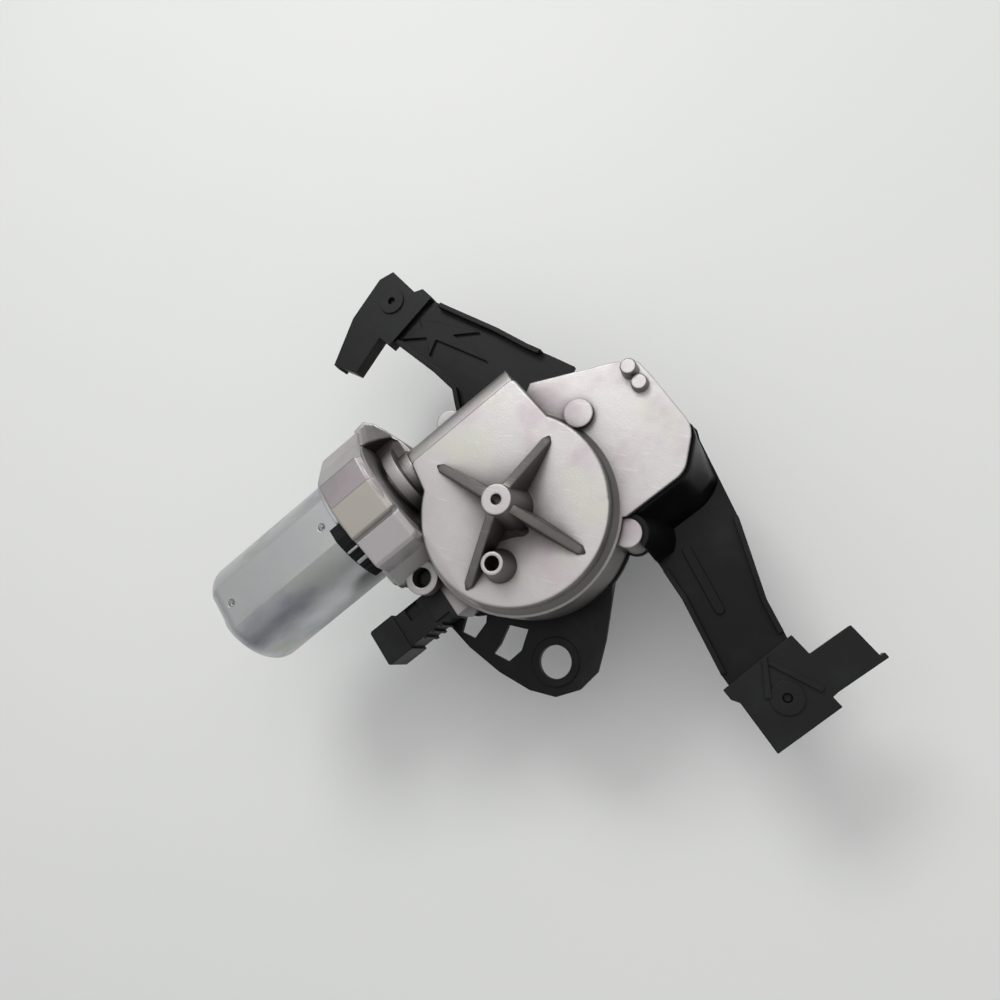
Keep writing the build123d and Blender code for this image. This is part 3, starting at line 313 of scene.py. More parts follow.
def castAluminium(name, cfg):
    material, tree, shader = newMaterial(name)
    links = tree.links
    warmMask = useGroup(tree, blotches, cfg["warmMask"]).outputs["Mask"]
    coolMask = useGroup(tree, blotches, cfg["coolMask"]).outputs["Mask"]
    shadeAndGrimeMask = useGroup(tree, recessShadeAndGrime, cfg["shadeAndGrimeMask"]).outputs["Mask"]
    scuffMask = useGroup(tree, scuffs, cfg["scuffMask"]).outputs["Mask"]
    wallShading = useGroup(tree, slopeShade, cfg["wallShadeMask"])
    tone = mixColour(tree, warmMask, cfg["light"], cfg["warm"])
    tone = mixColour(tree, coolMask, tone, cfg["cool"])
    # over the tone: scuffs, painted light and shade on the bell, painted shade on walls, painted shade and grime in
    # recesses
    for layer, mask in (("scuff", scuffMask), ("bellLightAndShade", wallShading.outputs["Behind"]),
                        ("wall", wallShading.outputs["Mask"]), ("shadeAndGrime", shadeAndGrimeMask)):
        tone = mixColour(tree, mathNode(tree, "MULTIPLY", mask, cfg["shares"][layer]), tone, cfg[layer])
    links.new(tone, shader.inputs["Base Color"])
    roughnessFrom(tree, shader, warmMask, *cfg["roughness"])
    height = useGroup(tree, surfaceGrain, cfg["grain"]).outputs["Height"]
    links.new(bumpFrom(tree, height, cfg["bump"], cfg["bumpDistance"], cfg["edgeRadius"]), shader.inputs["Normal"])
    setInputs(shader, {"Metallic": cfg["metallic"]})
    return material


canSettings = {
    "light": (0.58, 0.595, 0.60, 1.0),
    "stain": (0.34, 0.345, 0.41, 1.0),
    "dull": (0.48, 0.51, 0.45, 1.0),
    "dullShare": 0.6,
    "roughness": (0.37, 0.50),
    "stainMask": {"Scale": 30.0, "Low": 0.45, "High": 0.72, "Stretch": 0.5},
    "dullMask": {"Scale": 75.0, "Low": 0.48, "High": 0.66, "Stretch": 0.6},
    "lines": {"Across": 1200.0, "Along": 14.0},
    "bump": (0.12, 0.0002, 0.0006),   # strength, distance, edge radius
}


def platedCanSteel():
    cfg = canSettings
    material, tree, shader = newMaterial("platedCanSteel")
    links = tree.links
    stainMask = useGroup(tree, blotches, cfg["stainMask"]).outputs["Mask"]
    dullMask = useGroup(tree, blotches, cfg["dullMask"]).outputs["Mask"]
    tone = mixColour(tree, stainMask, cfg["light"], cfg["stain"])
    tone = mixColour(tree, mathNode(tree, "MULTIPLY", dullMask, cfg["dullShare"]), tone, cfg["dull"])
    links.new(tone, shader.inputs["Base Color"])
    roughnessFrom(tree, shader, dullMask, *cfg["roughness"])
    lines = useGroup(tree, drawLines, cfg["lines"])
    links.new(bumpFrom(tree, lines.outputs["Height"], *cfg["bump"]), shader.inputs["Normal"])
    setInputs(shader, {"Metallic": 1.0})
    return material


coatSettings = {
    "body": (0.0045, 0.0045, 0.0055, 1.0),
    "dust": (0.034, 0.034, 0.036, 1.0),
    "dustShare": 0.55,
    "roughness": (0.34, 0.55),
    "dustMask": {"Scale": 26.0, "Low": 0.45, "High": 0.75},
    "peel": {"Scale": 700.0, "Coarse Scale": 140.0, "Coarse Share": 0.5},
    "bump": (0.15, 0.0002, 0.0006),
    "specular": 0.16,
}


def blackCoat():
    cfg = coatSettings
    material, tree, shader = newMaterial("blackCoat")
    links = tree.links
    dustMask = useGroup(tree, blotches, cfg["dustMask"]).outputs["Mask"]
    dusting = mathNode(tree, "MULTIPLY", dustMask, cfg["dustShare"])
    links.new(mixColour(tree, dusting, cfg["body"], cfg["dust"]), shader.inputs["Base Color"])
    roughnessFrom(tree, shader, dustMask, *cfg["roughness"])
    peel = useGroup(tree, surfaceGrain, cfg["peel"])
    links.new(bumpFrom(tree, peel.outputs["Height"], *cfg["bump"]), shader.inputs["Normal"])
    setInputs(shader, {"Specular IOR Level": cfg["specular"]})
    return material


def mouldedPlastic(name, body, pale, roughness, grainScale, bump, specular=0.4):
    material, tree, shader = newMaterial(name)
    links = tree.links
    paleMask = useGroup(tree, blotches, {"Scale": 44.0, "Low": 0.42, "High": 0.72}).outputs["Mask"]
    links.new(mixColour(tree, mathNode(tree, "MULTIPLY", paleMask, 0.6), body, pale), shader.inputs["Base Color"])
    roughnessFrom(tree, shader, paleMask, roughness, roughness + 0.12)
    grain = useGroup(tree, surfaceGrain, {"Scale": grainScale, "Coarse Scale": 260.0, "Coarse Share": 0.2})
    links.new(bumpFrom(tree, grain.outputs["Height"], bump, 0.00025, 0.0005), shader.inputs["Normal"])
    setInputs(shader, {"Specular IOR Level": specular})
    return material


def machinedMetal(name, body, stained, roughness, metallic=1.0):
    material, tree, shader = newMaterial(name)
    links = tree.links
    stainMask = useGroup(tree, blotches, {"Scale": 120.0, "Low": 0.45, "High": 0.70}).outputs["Mask"]
    tone = mixColour(tree, mathNode(tree, "MULTIPLY", stainMask, 0.7), body, stained)
    links.new(tone, shader.inputs["Base Color"])
    roughnessFrom(tree, shader, stainMask, roughness, roughness + 0.14)
    lines = useGroup(tree, drawLines, {"Across": 900.0, "Along": 900.0})
    links.new(bumpFrom(tree, lines.outputs["Height"], 0.10, 0.0001), shader.inputs["Normal"])
    setInputs(shader, {"Metallic": metallic})
    return material


coreSettings = {"gap": (0.05, 0.05, 0.055, 1.0), "sheet": (0.24, 0.24, 0.25, 1.0)}


def stackedCore():
    material, tree, shader = newMaterial("stackedCore")
    links = tree.links
    place = addNode(tree, "ShaderNodeTexCoord")
    wave = addNode(tree, "ShaderNodeTexWave", wave_type="BANDS", bands_direction="X")
    setInputs(wave, {"Scale": 320.0, "Distortion": 0.0})
    links.new(place.outputs["Object"], wave.inputs["Vector"])
    tone = mixColour(tree, wave.outputs["Fac"], coreSettings["gap"], coreSettings["sheet"])
    links.new(tone, shader.inputs["Base Color"])
    links.new(bumpFrom(tree, wave.outputs["Fac"], 0.4, 0.0002), shader.inputs["Normal"])
    setInputs(shader, {"Metallic": 0.8, "Roughness": 0.45})
    return material


wireSettings = {"shade": (0.20, 0.06, 0.025, 1.0), "enamel": (0.62, 0.25, 0.10, 1.0)}


def enamelledWire():
    material, tree, shader = newMaterial("enamelledWire")
    links = tree.links
    place = addNode(tree, "ShaderNodeTexCoord")
    wave = addNode(tree, "ShaderNodeTexWave", wave_type="RINGS", rings_direction="X")
    setInputs(wave, {"Scale": 260.0, "Distortion": 2.0, "Detail": 2.0})
    links.new(place.outputs["Object"], wave.inputs["Vector"])
    tone = mixColour(tree, wave.outputs["Fac"], wireSettings["shade"], wireSettings["enamel"])
    links.new(tone, shader.inputs["Base Color"])
    links.new(bumpFrom(tree, wave.outputs["Fac"], 0.8, 0.0004), shader.inputs["Normal"])
    setInputs(shader, {"Metallic": 0.6, "Roughness": 0.32, "Coat Weight": 0.4})
    return material


finishes = {
    "cast_aluminium": castAluminium("castAluminium", castSettings),
    "plated_steel": platedCanSteel(),
    "black_paint": blackCoat(),
    "black_plastic": mouldedPlastic("blackMoulding", (0.0065, 0.007, 0.007, 1.0), (0.018, 0.019, 0.019, 1.0),
                                    0.42, 1300.0, 0.3, 0.22),
    "natural_nylon": mouldedPlastic("naturalNylon", (0.72, 0.68, 0.58, 1.0), (0.80, 0.77, 0.68, 1.0),
                                    0.36, 900.0, 0.1),
    "seal_rubber": mouldedPlastic("sealRubber", (0.012, 0.012, 0.012, 1.0), (0.05, 0.05, 0.05, 1.0),
                                  0.62, 1100.0, 0.4),
    "carbon": mouldedPlastic("pressedCarbon", (0.03, 0.03, 0.03, 1.0), (0.08, 0.075, 0.07, 1.0), 0.5, 1500.0, 0.4),
    "steel": machinedMetal("turnedSteel", (0.58, 0.58, 0.59, 1.0), (0.42, 0.41, 0.40, 1.0), 0.24),
    "spring_steel": machinedMetal("springSteel", (0.10, 0.10, 0.11, 1.0), (0.20, 0.17, 0.14, 1.0), 0.34),
    "brass": machinedMetal("tinnedBrass", (0.78, 0.66, 0.40, 1.0), (0.60, 0.52, 0.38, 1.0), 0.28),
    "bronze": machinedMetal("sinteredBronze", (0.50, 0.34, 0.19, 1.0), (0.33, 0.22, 0.13, 1.0), 0.42),
    "copper": machinedMetal("commutatorCopper", (0.80, 0.42, 0.26, 1.0), (0.48, 0.26, 0.18, 1.0), 0.26),
    "ferrite": machinedMetal("ferriteMagnet", (0.06, 0.06, 0.065, 1.0), (0.12, 0.12, 0.12, 1.0), 0.55, 0.3),
    "core_steel": stackedCore(),
    "enamelled_copper": enamelledWire(),
}

paintedShadowCasting = castAluminium("paintedShadowCasting", paintedShadowSettings)
shadedRibCasting = castAluminium("shadedRibCasting", ribShadeSettings)

# each node's mesh takes the finish of its slot in the record
for part in frame["record"]["subparts"]:
    mesh = nodes[part["node"]].data
    mesh.materials.clear()
    mesh.materials.append(finishes[part["material_slot"]])
print("finishes set on the frame's nodes")


# small pieces laid over the solids, in millimetres until they become meshes

mm = 0.001
bodyName = "housing"


def addPiece(name, shape, slot, smooth=True, finish=None):
    mesh = bpy.data.meshes.new(name)
    bmesh.ops.recalc_face_normals(shape, faces=shape.faces)
    bmesh.ops.scale(shape, vec=(mm, mm, mm), verts=shape.verts)
    shape.to_mesh(mesh)
    shape.free()
    for face in mesh.polygons:
        face.use_smooth = smooth
    mesh.materials.append(finish or finishes[slot])
    piece = bpy.data.objects.new(name, mesh)
    bpy.context.scene.collection.objects.link(piece)
    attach(piece, bodyName)
    return piece


# a tube through closed rings of equal length, with a cap on each end
def joinRings(shape, rings):
    rows = [[shape.verts.new(point) for point in ring] for ring in rings]
    count = len(rows[0])
    for lower, upper in zip(rows, rows[1:]):
        for index in range(count):
            after = (index + 1) % count
            shape.faces.new((lower[index], lower[after], upper[after], upper[index]))
    for row in (rows[0], rows[-1]):
        shape.faces.new(row)


ribSettings = {
    "centre": (-48.0, 4.0),
    "faceZ": 60.0,
    "angles": (112.9, -68.8, 24.3, -155.7),
    "reaches": (33.5, 31.5, 28.5, 33.0),
    "bossR": 5.5,
    "bossRise": 14.0,
    "tipRise": 0.4,
    "halfWidth": 1.75,
    "footWidth": 2.7,
    "footLeast": 0.25,      # share of the flare that is left where the rib has run down to the face
    "flareRise": 12.0,      # height at which the flare is full
    "crown": 0.55,
    "squareness": 0.5,      # 1 gives a round crown, less a flatter one
    "startRun": 3.0,        # inside the boss
    "fadeRun": 1.6,         # past the reach, where the rib runs out
    "endShare": 0.25,       # of the width, at the very end
    "lowest": -0.2,
    "sink": 0.15,
    "steps": 14,
    "crownSteps": 8,
}


def roundRibs():
    cfg = ribSettings
    centre = Vector((*cfg["centre"], cfg["faceZ"]))
    sunk = Vector((0.0, 0.0, -cfg["sink"]))
    for number, (angle, reach) in enumerate(zip(cfg["angles"], cfg["reaches"])):
        turn = math.radians(angle)
        along = Vector((math.cos(turn), math.sin(turn), 0.0))
        sideways = Vector((-math.sin(turn), math.cos(turn), 0.0))
        rings = []
        for step in range(cfg["steps"] + 1):
            run = cfg["startRun"] + (reach + cfg["fadeRun"] - cfg["startRun"]) * step / cfg["steps"]
            slope = (cfg["tipRise"] - cfg["bossRise"]) / (reach - cfg["bossR"])
            rise = min(max(cfg["bossRise"] + slope * (run - cfg["bossR"]), cfg["lowest"]), cfg["bossRise"])
            fade = 1.0 if run < reach else max(cfg["endShare"], 1.0 - (run - reach) / cfg["fadeRun"])
            flare = min(1.0, cfg["footLeast"] + rise / cfg["flareRise"])
            foot = (cfg["halfWidth"] + (cfg["footWidth"] - cfg["halfWidth"]) * flare) * fade
            middle = centre + along * run
            ring = [middle - sideways * foot + sunk]
            for crownStep in range(cfg["crownSteps"] + 1):
                lean = math.pi * (1.0 - crownStep / cfg["crownSteps"])
                wide = math.copysign(abs(math.cos(lean)) ** cfg["squareness"], math.cos(lean))
                high = abs(math.sin(lean)) ** cfg["squareness"]
                ring.append(middle + sideways * cfg["halfWidth"] * fade * wide
                            + Vector((0.0, 0.0, rise + cfg["crown"] * high)))
            ring.append(middle + sideways * foot + sunk)
            rings.append(ring)
        shape = bmesh.new()
        joinRings(shape, rings)
        addPiece("roundedRib" + str(number + 1), shape, "cast_aluminium", finish=shadedRibCasting)


skirtSettings = {
    "corners": ((22.1, -1.0), (21.6, -12.2), (9.0, -23.7), (-13.5, -23.45)),
    "cornerR": 10.0,
    "armEdge": ((22.6, 2.0), (23.6, -8.3), (22.0, -12.1), (17.9, -29.2), (13.9, -45.6)),
    "topZ": 49.6,
    "footZ": 29.9,
    "gap": 0.3,
    "lip": 1.0,
    "lipProfile": ((0.0, 0.0), (0.6, 0.1), (1.0, 0.8)),   # share of the lip outward, drop from the top
    "flareShares": (0.15, 0.4, 0.7, 1.0),
    "flarePower": 1.3,
    "footRun": 10.0,
    "armGap": 0.3,
    "spacing": 2.0,
    "fadeSteps": 6.0,    # points over which it runs out towards the plate's right edge
    "endRise": 2.0,
}


def roundedPath(corners, radius, steps=8):
    points = [Vector(corners[0])]
    for before, corner, after in zip(corners, corners[1:], corners[2:]):
        corner = Vector(corner)
        inward = (Vector(before) - corner).normalized()
        onward = (Vector(after) - corner).normalized()
        half = inward.angle(onward) / 2
        cut = radius / math.tan(half)
        start, end = corner + inward * cut, corner + onward * cut
        centre = corner + (inward + onward).normalized() * radius / math.sin(half)
        for step in range(steps + 1):
            share = step / steps
            arm = (start - centre).lerp(end - centre, share).normalized()
            points.append(centre + arm * radius)
    points.append(Vector(corners[-1]))
    return points


def distanceToEdge(point, direction, edge, limit):
    reach = limit
    for first, second in zip(edge, edge[1:]):
        first, second = Vector(first), Vector(second)
        run = second - first
        cross = direction.x * run.y - direction.y * run.x
        if abs(cross) < 1e-9:
            continue
        offset = first - point
        ahead = (offset.x * run.y - offset.y * run.x) / cross
        share = (offset.x * direction.y - offset.y * direction.x) / cross
        if 0.0 <= share <= 1.0 and ahead > 0.0:
            reach = min(reach, ahead)
    return reach


def plateSkirt():
    cfg = skirtSettings
    path = roundedPath(cfg["corners"], cfg["cornerR"])
    fine = []
    for first, second in zip(path, path[1:]):
        pieces = max(1, int((second - first).length / cfg["spacing"]))
        fine += [first.lerp(second, step / pieces) for step in range(pieces)]
    fine.append(path[-1])
    rings = []
    for index, point in enumerate(fine):
        tangent = (fine[min(index + 1, len(fine) - 1)] - fine[max(index - 1, 0)]).normalized()
        outward = Vector((tangent.y, -tangent.x))
        if outward.dot(point) <= 0:
            outward = -outward
        room = distanceToEdge(point, outward, cfg["armEdge"], cfg["footRun"]) - cfg["armGap"]
        lip = min(cfg["lip"], room / 2)
        endZ = cfg["footZ"] + cfg["endRise"]
        topZ = endZ + (cfg["topZ"] - endZ) * min(1.0, index / cfg["fadeSteps"])
        profile = [(cfg["gap"] + lip * share, topZ - drop) for share, drop in cfg["lipProfile"]]
        out, z = profile[-1]
        for share in cfg["flareShares"]:
            profile.append((out + (room - out) * share ** cfg["flarePower"], z + (cfg["footZ"] - z) * share))
        profile.append((cfg["gap"], cfg["footZ"]))
        rings.append([Vector((*(point + outward * away), height)) for away, height in profile])
    shape = bmesh.new()
    joinRings(shape, rings)
    addPiece("plateSkirt", shape, "black_paint")


lugSettings = {
    "spot": (-94.2, 7.8),
    "boreR": 4.02,
    "lowZ": 46.05,
    "highZ": 46.55,
    "steps": 28,
    "dish": 0.2,
}


# a low disc, its middle a little lower than its rim
def dishedDisc(name, spot, radius, cfg, innerShare=0.6):
    turns = [2 * math.pi * step / cfg["steps"] for step in range(cfg["steps"])]
    rings = []
    low, high = cfg["lowZ"], cfg["highZ"]
    for rim, z in ((radius, low), (radius, high), (radius * innerShare, high - cfg["dish"])):
        rings.append([Vector((spot[0] + rim * math.cos(turn), spot[1] + rim * math.sin(turn), z))
                      for turn in turns])
    shape = bmesh.new()
    joinRings(shape, rings)
    addPiece(name, shape, "black_plastic")


# a black disc in the lug's bore: painted shade that makes the bore read dark
def shadeLugHole():
    dishedDisc("lugHoleShadeDisc", lugSettings["spot"], lugSettings["boreR"], lugSettings)


eyeSettings = {
    "left": (-41.0, 128.5),
    "right": (-12.8, -104.5),
    "radius": 1.72,
    "lowZ": 30.8,
    "highZ": 31.3,
    "steps": 20,
    "dish": 0.15,
}


# black discs in the feet's small through holes: painted shade where the holes would show the floor
def shadeFootEyes():
    for side in ("left", "right"):
        dishedDisc(side + "EyeShadeDisc", eyeSettings[side], eyeSettings["radius"], eyeSettings)


tabSettings = {
    "axis": (44.0, 47.0),
    "x0": -109.0,
    "x1": -103.6,
    "radius": 24.45,
    "sink": 0.3,
    "ends": ((0.0, 0.0), (0.04, 0.8), (0.12, 1.0), (0.88, 1.0), (0.96, 0.8), (1.0, 0.0)),   # run, share of the rise
    "across": (-0.5, -0.25, 0.0, 0.25, 0.5),
    "topShare": 0.9,
    # angle and span in degrees
    "groups": {
        "ringClips": {"slot": "plated_steel", "rise": 0.35, "tabs": ((141.0, 4.2), (128.0, 2.4))},
        "ringRidges": {"slot": "black_plastic", "rise": 0.5, "tabs": ((150.5, 3.0), (135.0, 3.0), (121.0, 3.0))},
    },
}


def onAxis(x, degreesUp, radius):
    cfg = tabSettings
    turn = math.radians(degreesUp)
    return Vector((x, cfg["axis"][0] + radius * math.cos(turn), cfg["axis"][1] + radius * math.sin(turn)))


def ringTabs():
    cfg = tabSettings
    low = cfg["radius"] - cfg["sink"]
    for name, group in cfg["groups"].items():
        rise = group["rise"]
        shape = bmesh.new()
        for spot, span in group["tabs"]:
            rings = []
            for share, lift in cfg["ends"]:
                x = cfg["x0"] + (cfg["x1"] - cfg["x0"]) * share
                high = cfg["radius"] + rise * lift
                ring = [onAxis(x, spot - span / 2, low)]
                for across in cfg["across"]:
                    ring.append(onAxis(x, spot + across * span * cfg["topShare"], high - abs(across) ** 3 * rise))
                ring.append(onAxis(x, spot + span / 2, low))
                rings.append(ring)
            joinRings(shape, rings)
        addPiece(name, shape, group["slot"])


# raised facets over the bell, from its outer flank over the top to its lower flank
# each has its (y, z) corners and its own tone of painted light and shade, and each station has x and a share of the
# full lift
facetSettings = {
    "strips": {
        "bellFlankFacet": (((66.5, 61.6), (65.4, 63.8), (56.0, 72.1), (55.0, 69.4), (63.0, 62.5)),
                           (0.38, 0.365, 0.37, 1.0)),
        "bellCrownFacet": (((56.0, 72.1), (44.0, 74.0), (44.0, 72.5), (55.0, 69.4)), (0.27, 0.225, 0.25, 1.0)),
        "bellBandFacet": (((44.0, 74.0), (30.4, 71.5), (29.9, 71.0), (29.5, 68.9), (31.0, 68.0), (44.0, 72.5)),
                          (0.45, 0.43, 0.35, 1.0)),
        "bellLowFacet": (((28.9, 69.3), (18.6, 64.9), (17.5, 63.9), (15.9, 55.4), (17.5, 55.5), (24.5, 63.5)),
                         (0.62, 0.59, 0.60, 1.0)),
    },
    "stations": ((-102.95, 0.7), (-102.5, 1.0), (-84.2, 1.0), (-81.9, 0.3)),
    "axis": (44.0, 47.0),
    "sink": 1.8,
}


def bellFacets():
    cfg = facetSettings
    axis = Vector(cfg["axis"])
    for name, (outline, facetLightAndShade) in cfg["strips"].items():
        rings = []
        for x, lift in cfg["stations"]:
            ring = []
            for corner in outline:
                spot = Vector(corner)
                lowered = spot + (axis - spot).normalized() * cfg["sink"] * (1.0 - lift)
                ring.append(Vector((x, lowered.x, lowered.y)))
            rings.append(ring)
        shape = bmesh.new()
        joinRings(shape, rings)
        # each facet gets a copy of the cast finish that carries its painted light and shade
        litFacetFinish = castAluminium(name + "Skin", dict(castSettings, bellLightAndShade=facetLightAndShade))
        addPiece(name, shape, "cast_aluminium", smooth=False, finish=litFacetFinish)


# the gusset runs from the bell's outer flank down to the web
# its stations give x, inner top z and outer y
gussetSettings = {
    "stations": ((-81.7, 64.4, 75.6), (-78.5, 62.6, 75.6), (-75.6, 59.6, 72.8), (-73.2, 56.0, 67.6),
                 (-71.9, 53.5, 64.3)),
    "innerY": 62.6,
    "webZ": 53.0,
    "sink": 0.2,
    "edgeRun": 0.5,
    "toeRun": 0.4,
    "toeRise": 0.3,
    "bulge": 0.8,
}


def bellGusset():
    cfg = gussetSettings
    low, inner, edgeRun = cfg["webZ"] - cfg["sink"], cfg["innerY"], cfg["edgeRun"]
    rings = []
    for x, topZ, outerY in cfg["stations"]:
        halfway = ((inner + outerY) / 2, (topZ + cfg["webZ"]) / 2 + cfg["bulge"])
        toe = (outerY - cfg["toeRun"], cfg["webZ"] + cfg["toeRise"])
        ring = [(inner, low), (inner, topZ - edgeRun), (inner + edgeRun, topZ), halfway, toe, (outerY, low)]
        rings.append([Vector((x, y, z)) for y, z in ring])
    shape = bmesh.new()
    joinRings(shape, rings)
    addPiece("bellGusset", shape, "cast_aluminium", smooth=False)


# a dark sheet with a raised wall, painted shade in the pocket between gusset, web and collar
# its stations give x, inner y, outer y and the wall's rise
pocketShadeSettings = {
    "stations": ((-81.3, 50.0, 62.7, 10.2), (-79.0, 50.5, 62.7, 8.6), (-75.0, 50.5, 62.7, 5.4),
                 (-72.4, 49.5, 62.6, 1.8), (-70.6, 49.0, 59.8, 0.15)),
    "floorZ": 53.25,
    "sink": 0.45,
    "dip": 0.05,
    "cornerRun": 0.5,
    "wallThick": 0.35,
}


def shadePocket():
    cfg = pocketShadeSettings
    floorZ, low = cfg["floorZ"], cfg["floorZ"] - cfg["sink"]
    rings = []
    for x, inner, outer, rise in cfg["stations"]:
        top = floorZ + rise
        ring = [(inner, low), (inner, floorZ), ((inner + outer) / 2, floorZ - cfg["dip"]),
                (outer - cfg["cornerRun"], floorZ), (outer - cfg["wallThick"], top), (outer, top), (outer, low)]
        rings.append([Vector((x, y, z)) for y, z in ring])
    shape = bmesh.new()
    joinRings(shape, rings)
    addPiece("pocketShadeSheet", shape, "cast_aluminium", smooth=False, finish=paintedShadowCasting)


# a painted shadow between the boss and the vent tube, laid as a thin dark film
shadowPatchSettings = {
    "patch": ((-57.1, 7.0), (-54.0, 2.4), (-49.6, -1.3), (-46.4, -6.6), (-49.3, -8.7), (-53.6, -5.6), (-58.6, -3.9),
              (-62.4, -2.4), (-63.0, 1.6), (-60.4, 6.0)),
    "level": 60.0,
    "profile": ((1.0, -0.05), (0.98, 0.03), (0.85, 0.09), (0.3, 0.09)),   # share of the outline, height
    "rounds": 2,
}


def cornersCut(points, rounds, share=0.25):
    for _ in range(rounds):
        cut = []
        for first, second in zip(points, points[1:] + points[:1]):
            cut += [first.lerp(second, share), first.lerp(second, 1.0 - share)]
        points = cut
    return points


def paintedShadowPatch():
    cfg = shadowPatchSettings
    edge = cornersCut([Vector(corner) for corner in cfg["patch"]], cfg["rounds"])
    middle = sum(edge, Vector((0.0, 0.0))) / len(edge)
    rings = [[Vector((*middle.lerp(spot, share), cfg["level"] + rise)) for spot in edge]
             for share, rise in cfg["profile"]]
    shape = bmesh.new()
    joinRings(shape, rings)
    addPiece("paintedShadowPatch", shape, "cast_aluminium", finish=paintedShadowCasting)


roundRibs()
paintedShadowPatch()
plateSkirt()
bellFacets()
bellGusset()
shadePocket()
shadeLugHole()
shadeFootEyes()
ringTabs()
print("small pieces laid on")


# floor, light and camera

roomSettings = {
    "floor": (0.87, 0.885, 0.87, 1.0),
    "background": (0.91, 0.92, 0.905, 1.0),
    "floorReach": 3.0,
    "floorGap": 0.0002,
    "cloud": {"Scale": 2.5, "Low": 0.3, "High": 0.7},
    "worldTop": (1.0, 1.0, 1.0, 1.0),
    "worldSide": (0.52, 0.53, 0.55, 1.0),
    "worldDark": (0.12, 0.12, 0.13, 1.0),   # the unlit side of the room, towards -Y
    "worldStrength": 0.5,
    "backdrop": (0.72, 0.735, 0.72, 1.0),
    "backdropShade": (0.42, 0.43, 0.425, 1.0),
    "backdropTop": 0.22,
}


def layFloor():
    cfg = roomSettings
    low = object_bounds()[0][2] - cfg["floorGap"]
    reach = cfg["floorReach"]
    mesh = bpy.data.meshes.new("floorSheet")
    mesh.from_pydata([(-reach, -reach, low), (reach, -reach, low), (reach, reach, low), (-reach, reach, low)],
                     [], [(0, 1, 2, 3)])
    floor = bpy.data.objects.new("floorSheet", mesh)
    bpy.context.scene.collection.objects.link(floor)
    material, tree, shader = newMaterial("paleFloor")
    cloud = mathNode(tree, "MULTIPLY", useGroup(tree, blotches, cfg["cloud"]).outputs["Mask"], 0.5)
    tree.links.new(mixColour(tree, cloud, cfg["floor"], cfg["background"]), shader.inputs["Base Color"])
    setInputs(shader, {"Roughness": 0.6})
    mesh.materials.append(material)


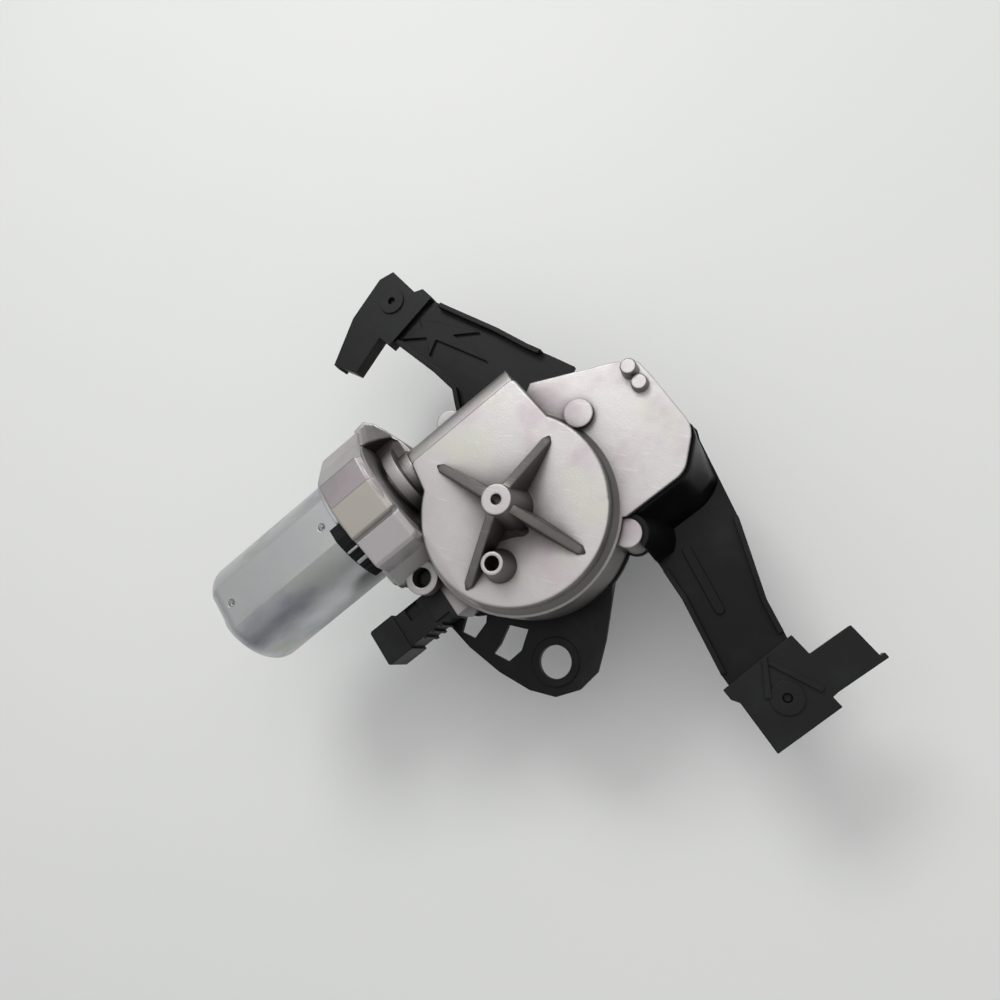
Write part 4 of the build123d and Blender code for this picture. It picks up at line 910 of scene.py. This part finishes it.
def lightRoom():
    cfg = roomSettings
    world = bpy.data.worlds.new("paleRoom")
    bpy.context.scene.world = world
    world.use_nodes = True
    tree = world.node_tree
    background = next(n for n in tree.nodes if n.type == "BACKGROUND")
    place = addNode(tree, "ShaderNodeTexCoord")
    split = addNode(tree, "ShaderNodeSeparateXYZ")
    tree.links.new(place.outputs["Generated"], split.inputs[0])
    ramp = addNode(tree, "ShaderNodeMapRange", interpolation_type="SMOOTHSTEP")
    setInputs(ramp, {"From Min": 0.05, "From Max": 0.75})
    tree.links.new(split.outputs["Z"], ramp.inputs["Value"])
    sideRamp = addNode(tree, "ShaderNodeMapRange", interpolation_type="SMOOTHSTEP")
    setInputs(sideRamp, {"From Min": -0.75, "From Max": 0.05})
    tree.links.new(split.outputs["Y"], sideRamp.inputs["Value"])
    horizon = mixColour(tree, sideRamp.outputs[0], cfg["worldDark"], cfg["worldSide"])
    sky = mixColour(tree, ramp.outputs[0], horizon, cfg["worldTop"])
    tree.links.new(sky, background.inputs["Color"])
    background.inputs["Strength"].default_value = cfg["worldStrength"]
    # camera and transmission rays see a pale backdrop all round, glossy rays see its lower part with the sky above
    dimmed = addNode(tree, "ShaderNodeVectorMath", operation="SCALE")
    dimmed.inputs["Scale"].default_value = cfg["worldStrength"]
    tree.links.new(sky, dimmed.inputs[0])
    band = addNode(tree, "ShaderNodeMapRange", interpolation_type="SMOOTHSTEP")
    setInputs(band, {"From Min": cfg["backdropTop"] * 0.7, "From Max": cfg["backdropTop"]})
    tree.links.new(split.outputs["Z"], band.inputs["Value"])
    seen = addNode(tree, "ShaderNodeBackground")
    wall = mixColour(tree, sideRamp.outputs[0], cfg["backdropShade"], cfg["backdrop"])
    rays = addNode(tree, "ShaderNodeLightPath")
    skyShare = mathNode(tree, "MULTIPLY", band.outputs[0], rays.outputs["Is Glossy Ray"])
    tree.links.new(mixColour(tree, skyShare, wall, dimmed.outputs[0]), seen.inputs["Color"])
    direct = mathNode(tree, "ADD", rays.outputs["Is Camera Ray"], rays.outputs["Is Glossy Ray"], clamp=True)
    direct = mathNode(tree, "ADD", direct, rays.outputs["Is Transmission Ray"], clamp=True)
    blend = addNode(tree, "ShaderNodeMixShader")
    output = next(n for n in tree.nodes if n.type == "OUTPUT_WORLD")
    tree.links.new(direct, blend.inputs[0])
    tree.links.new(background.outputs[0], blend.inputs[1])
    tree.links.new(seen.outputs[0], blend.inputs[2])
    tree.links.new(blend.outputs[0], output.inputs["Surface"])


def addLamp(name, place, target, size, power, colour):
    data = bpy.data.lights.new(name, "AREA")
    data.shape = "RECTANGLE"
    data.size, data.size_y = size
    data.energy = power
    data.color = colour
    lamp = bpy.data.objects.new(name, data)
    lamp.location = place
    lamp.rotation_euler = (Vector(target) - Vector(place)).to_track_quat("-Z", "Y").to_euler()
    bpy.context.scene.collection.objects.link(lamp)


cameraSettings = {
    "place": (-0.00663, -0.09179, 0.32499),
    "right": (0.7683271, -0.5467568, -0.3327618),
    "up": (0.6222415, 0.7598694, 0.1881863),
    "focalPixels": 770.93,
    "framePixels": 1000.0,
}


def setCamera():
    cfg = cameraSettings
    right, up = Vector(cfg["right"]), Vector(cfg["up"])
    back = right.cross(up)
    data = bpy.data.cameras.new("camera")
    data.sensor_width = 36.0
    data.lens = data.sensor_width * cfg["focalPixels"] / cfg["framePixels"]
    data.clip_start = 0.01
    camera = bpy.data.objects.new("camera", data)
    camera.matrix_world = Matrix.Translation(cfg["place"]) @ Matrix((right, up, back)).transposed().to_4x4()
    bpy.context.scene.collection.objects.link(camera)
    bpy.context.scene.camera = camera


layFloor()
lightRoom()
lampTarget = (-0.04, 0.0, 0.03)
addLamp("backWindow", (0.2, 0.85, 1.0), lampTarget, (0.55, 0.4), 5.0, (1.0, 1.0, 1.0))
addLamp("topSoft", (0.35, 0.3, 1.3), lampTarget, (1.4, 1.4), 4.6, (1.0, 0.99, 0.98))
setCamera()
bpy.context.scene.view_settings.view_transform = "Standard"
print("floor, light and camera set")
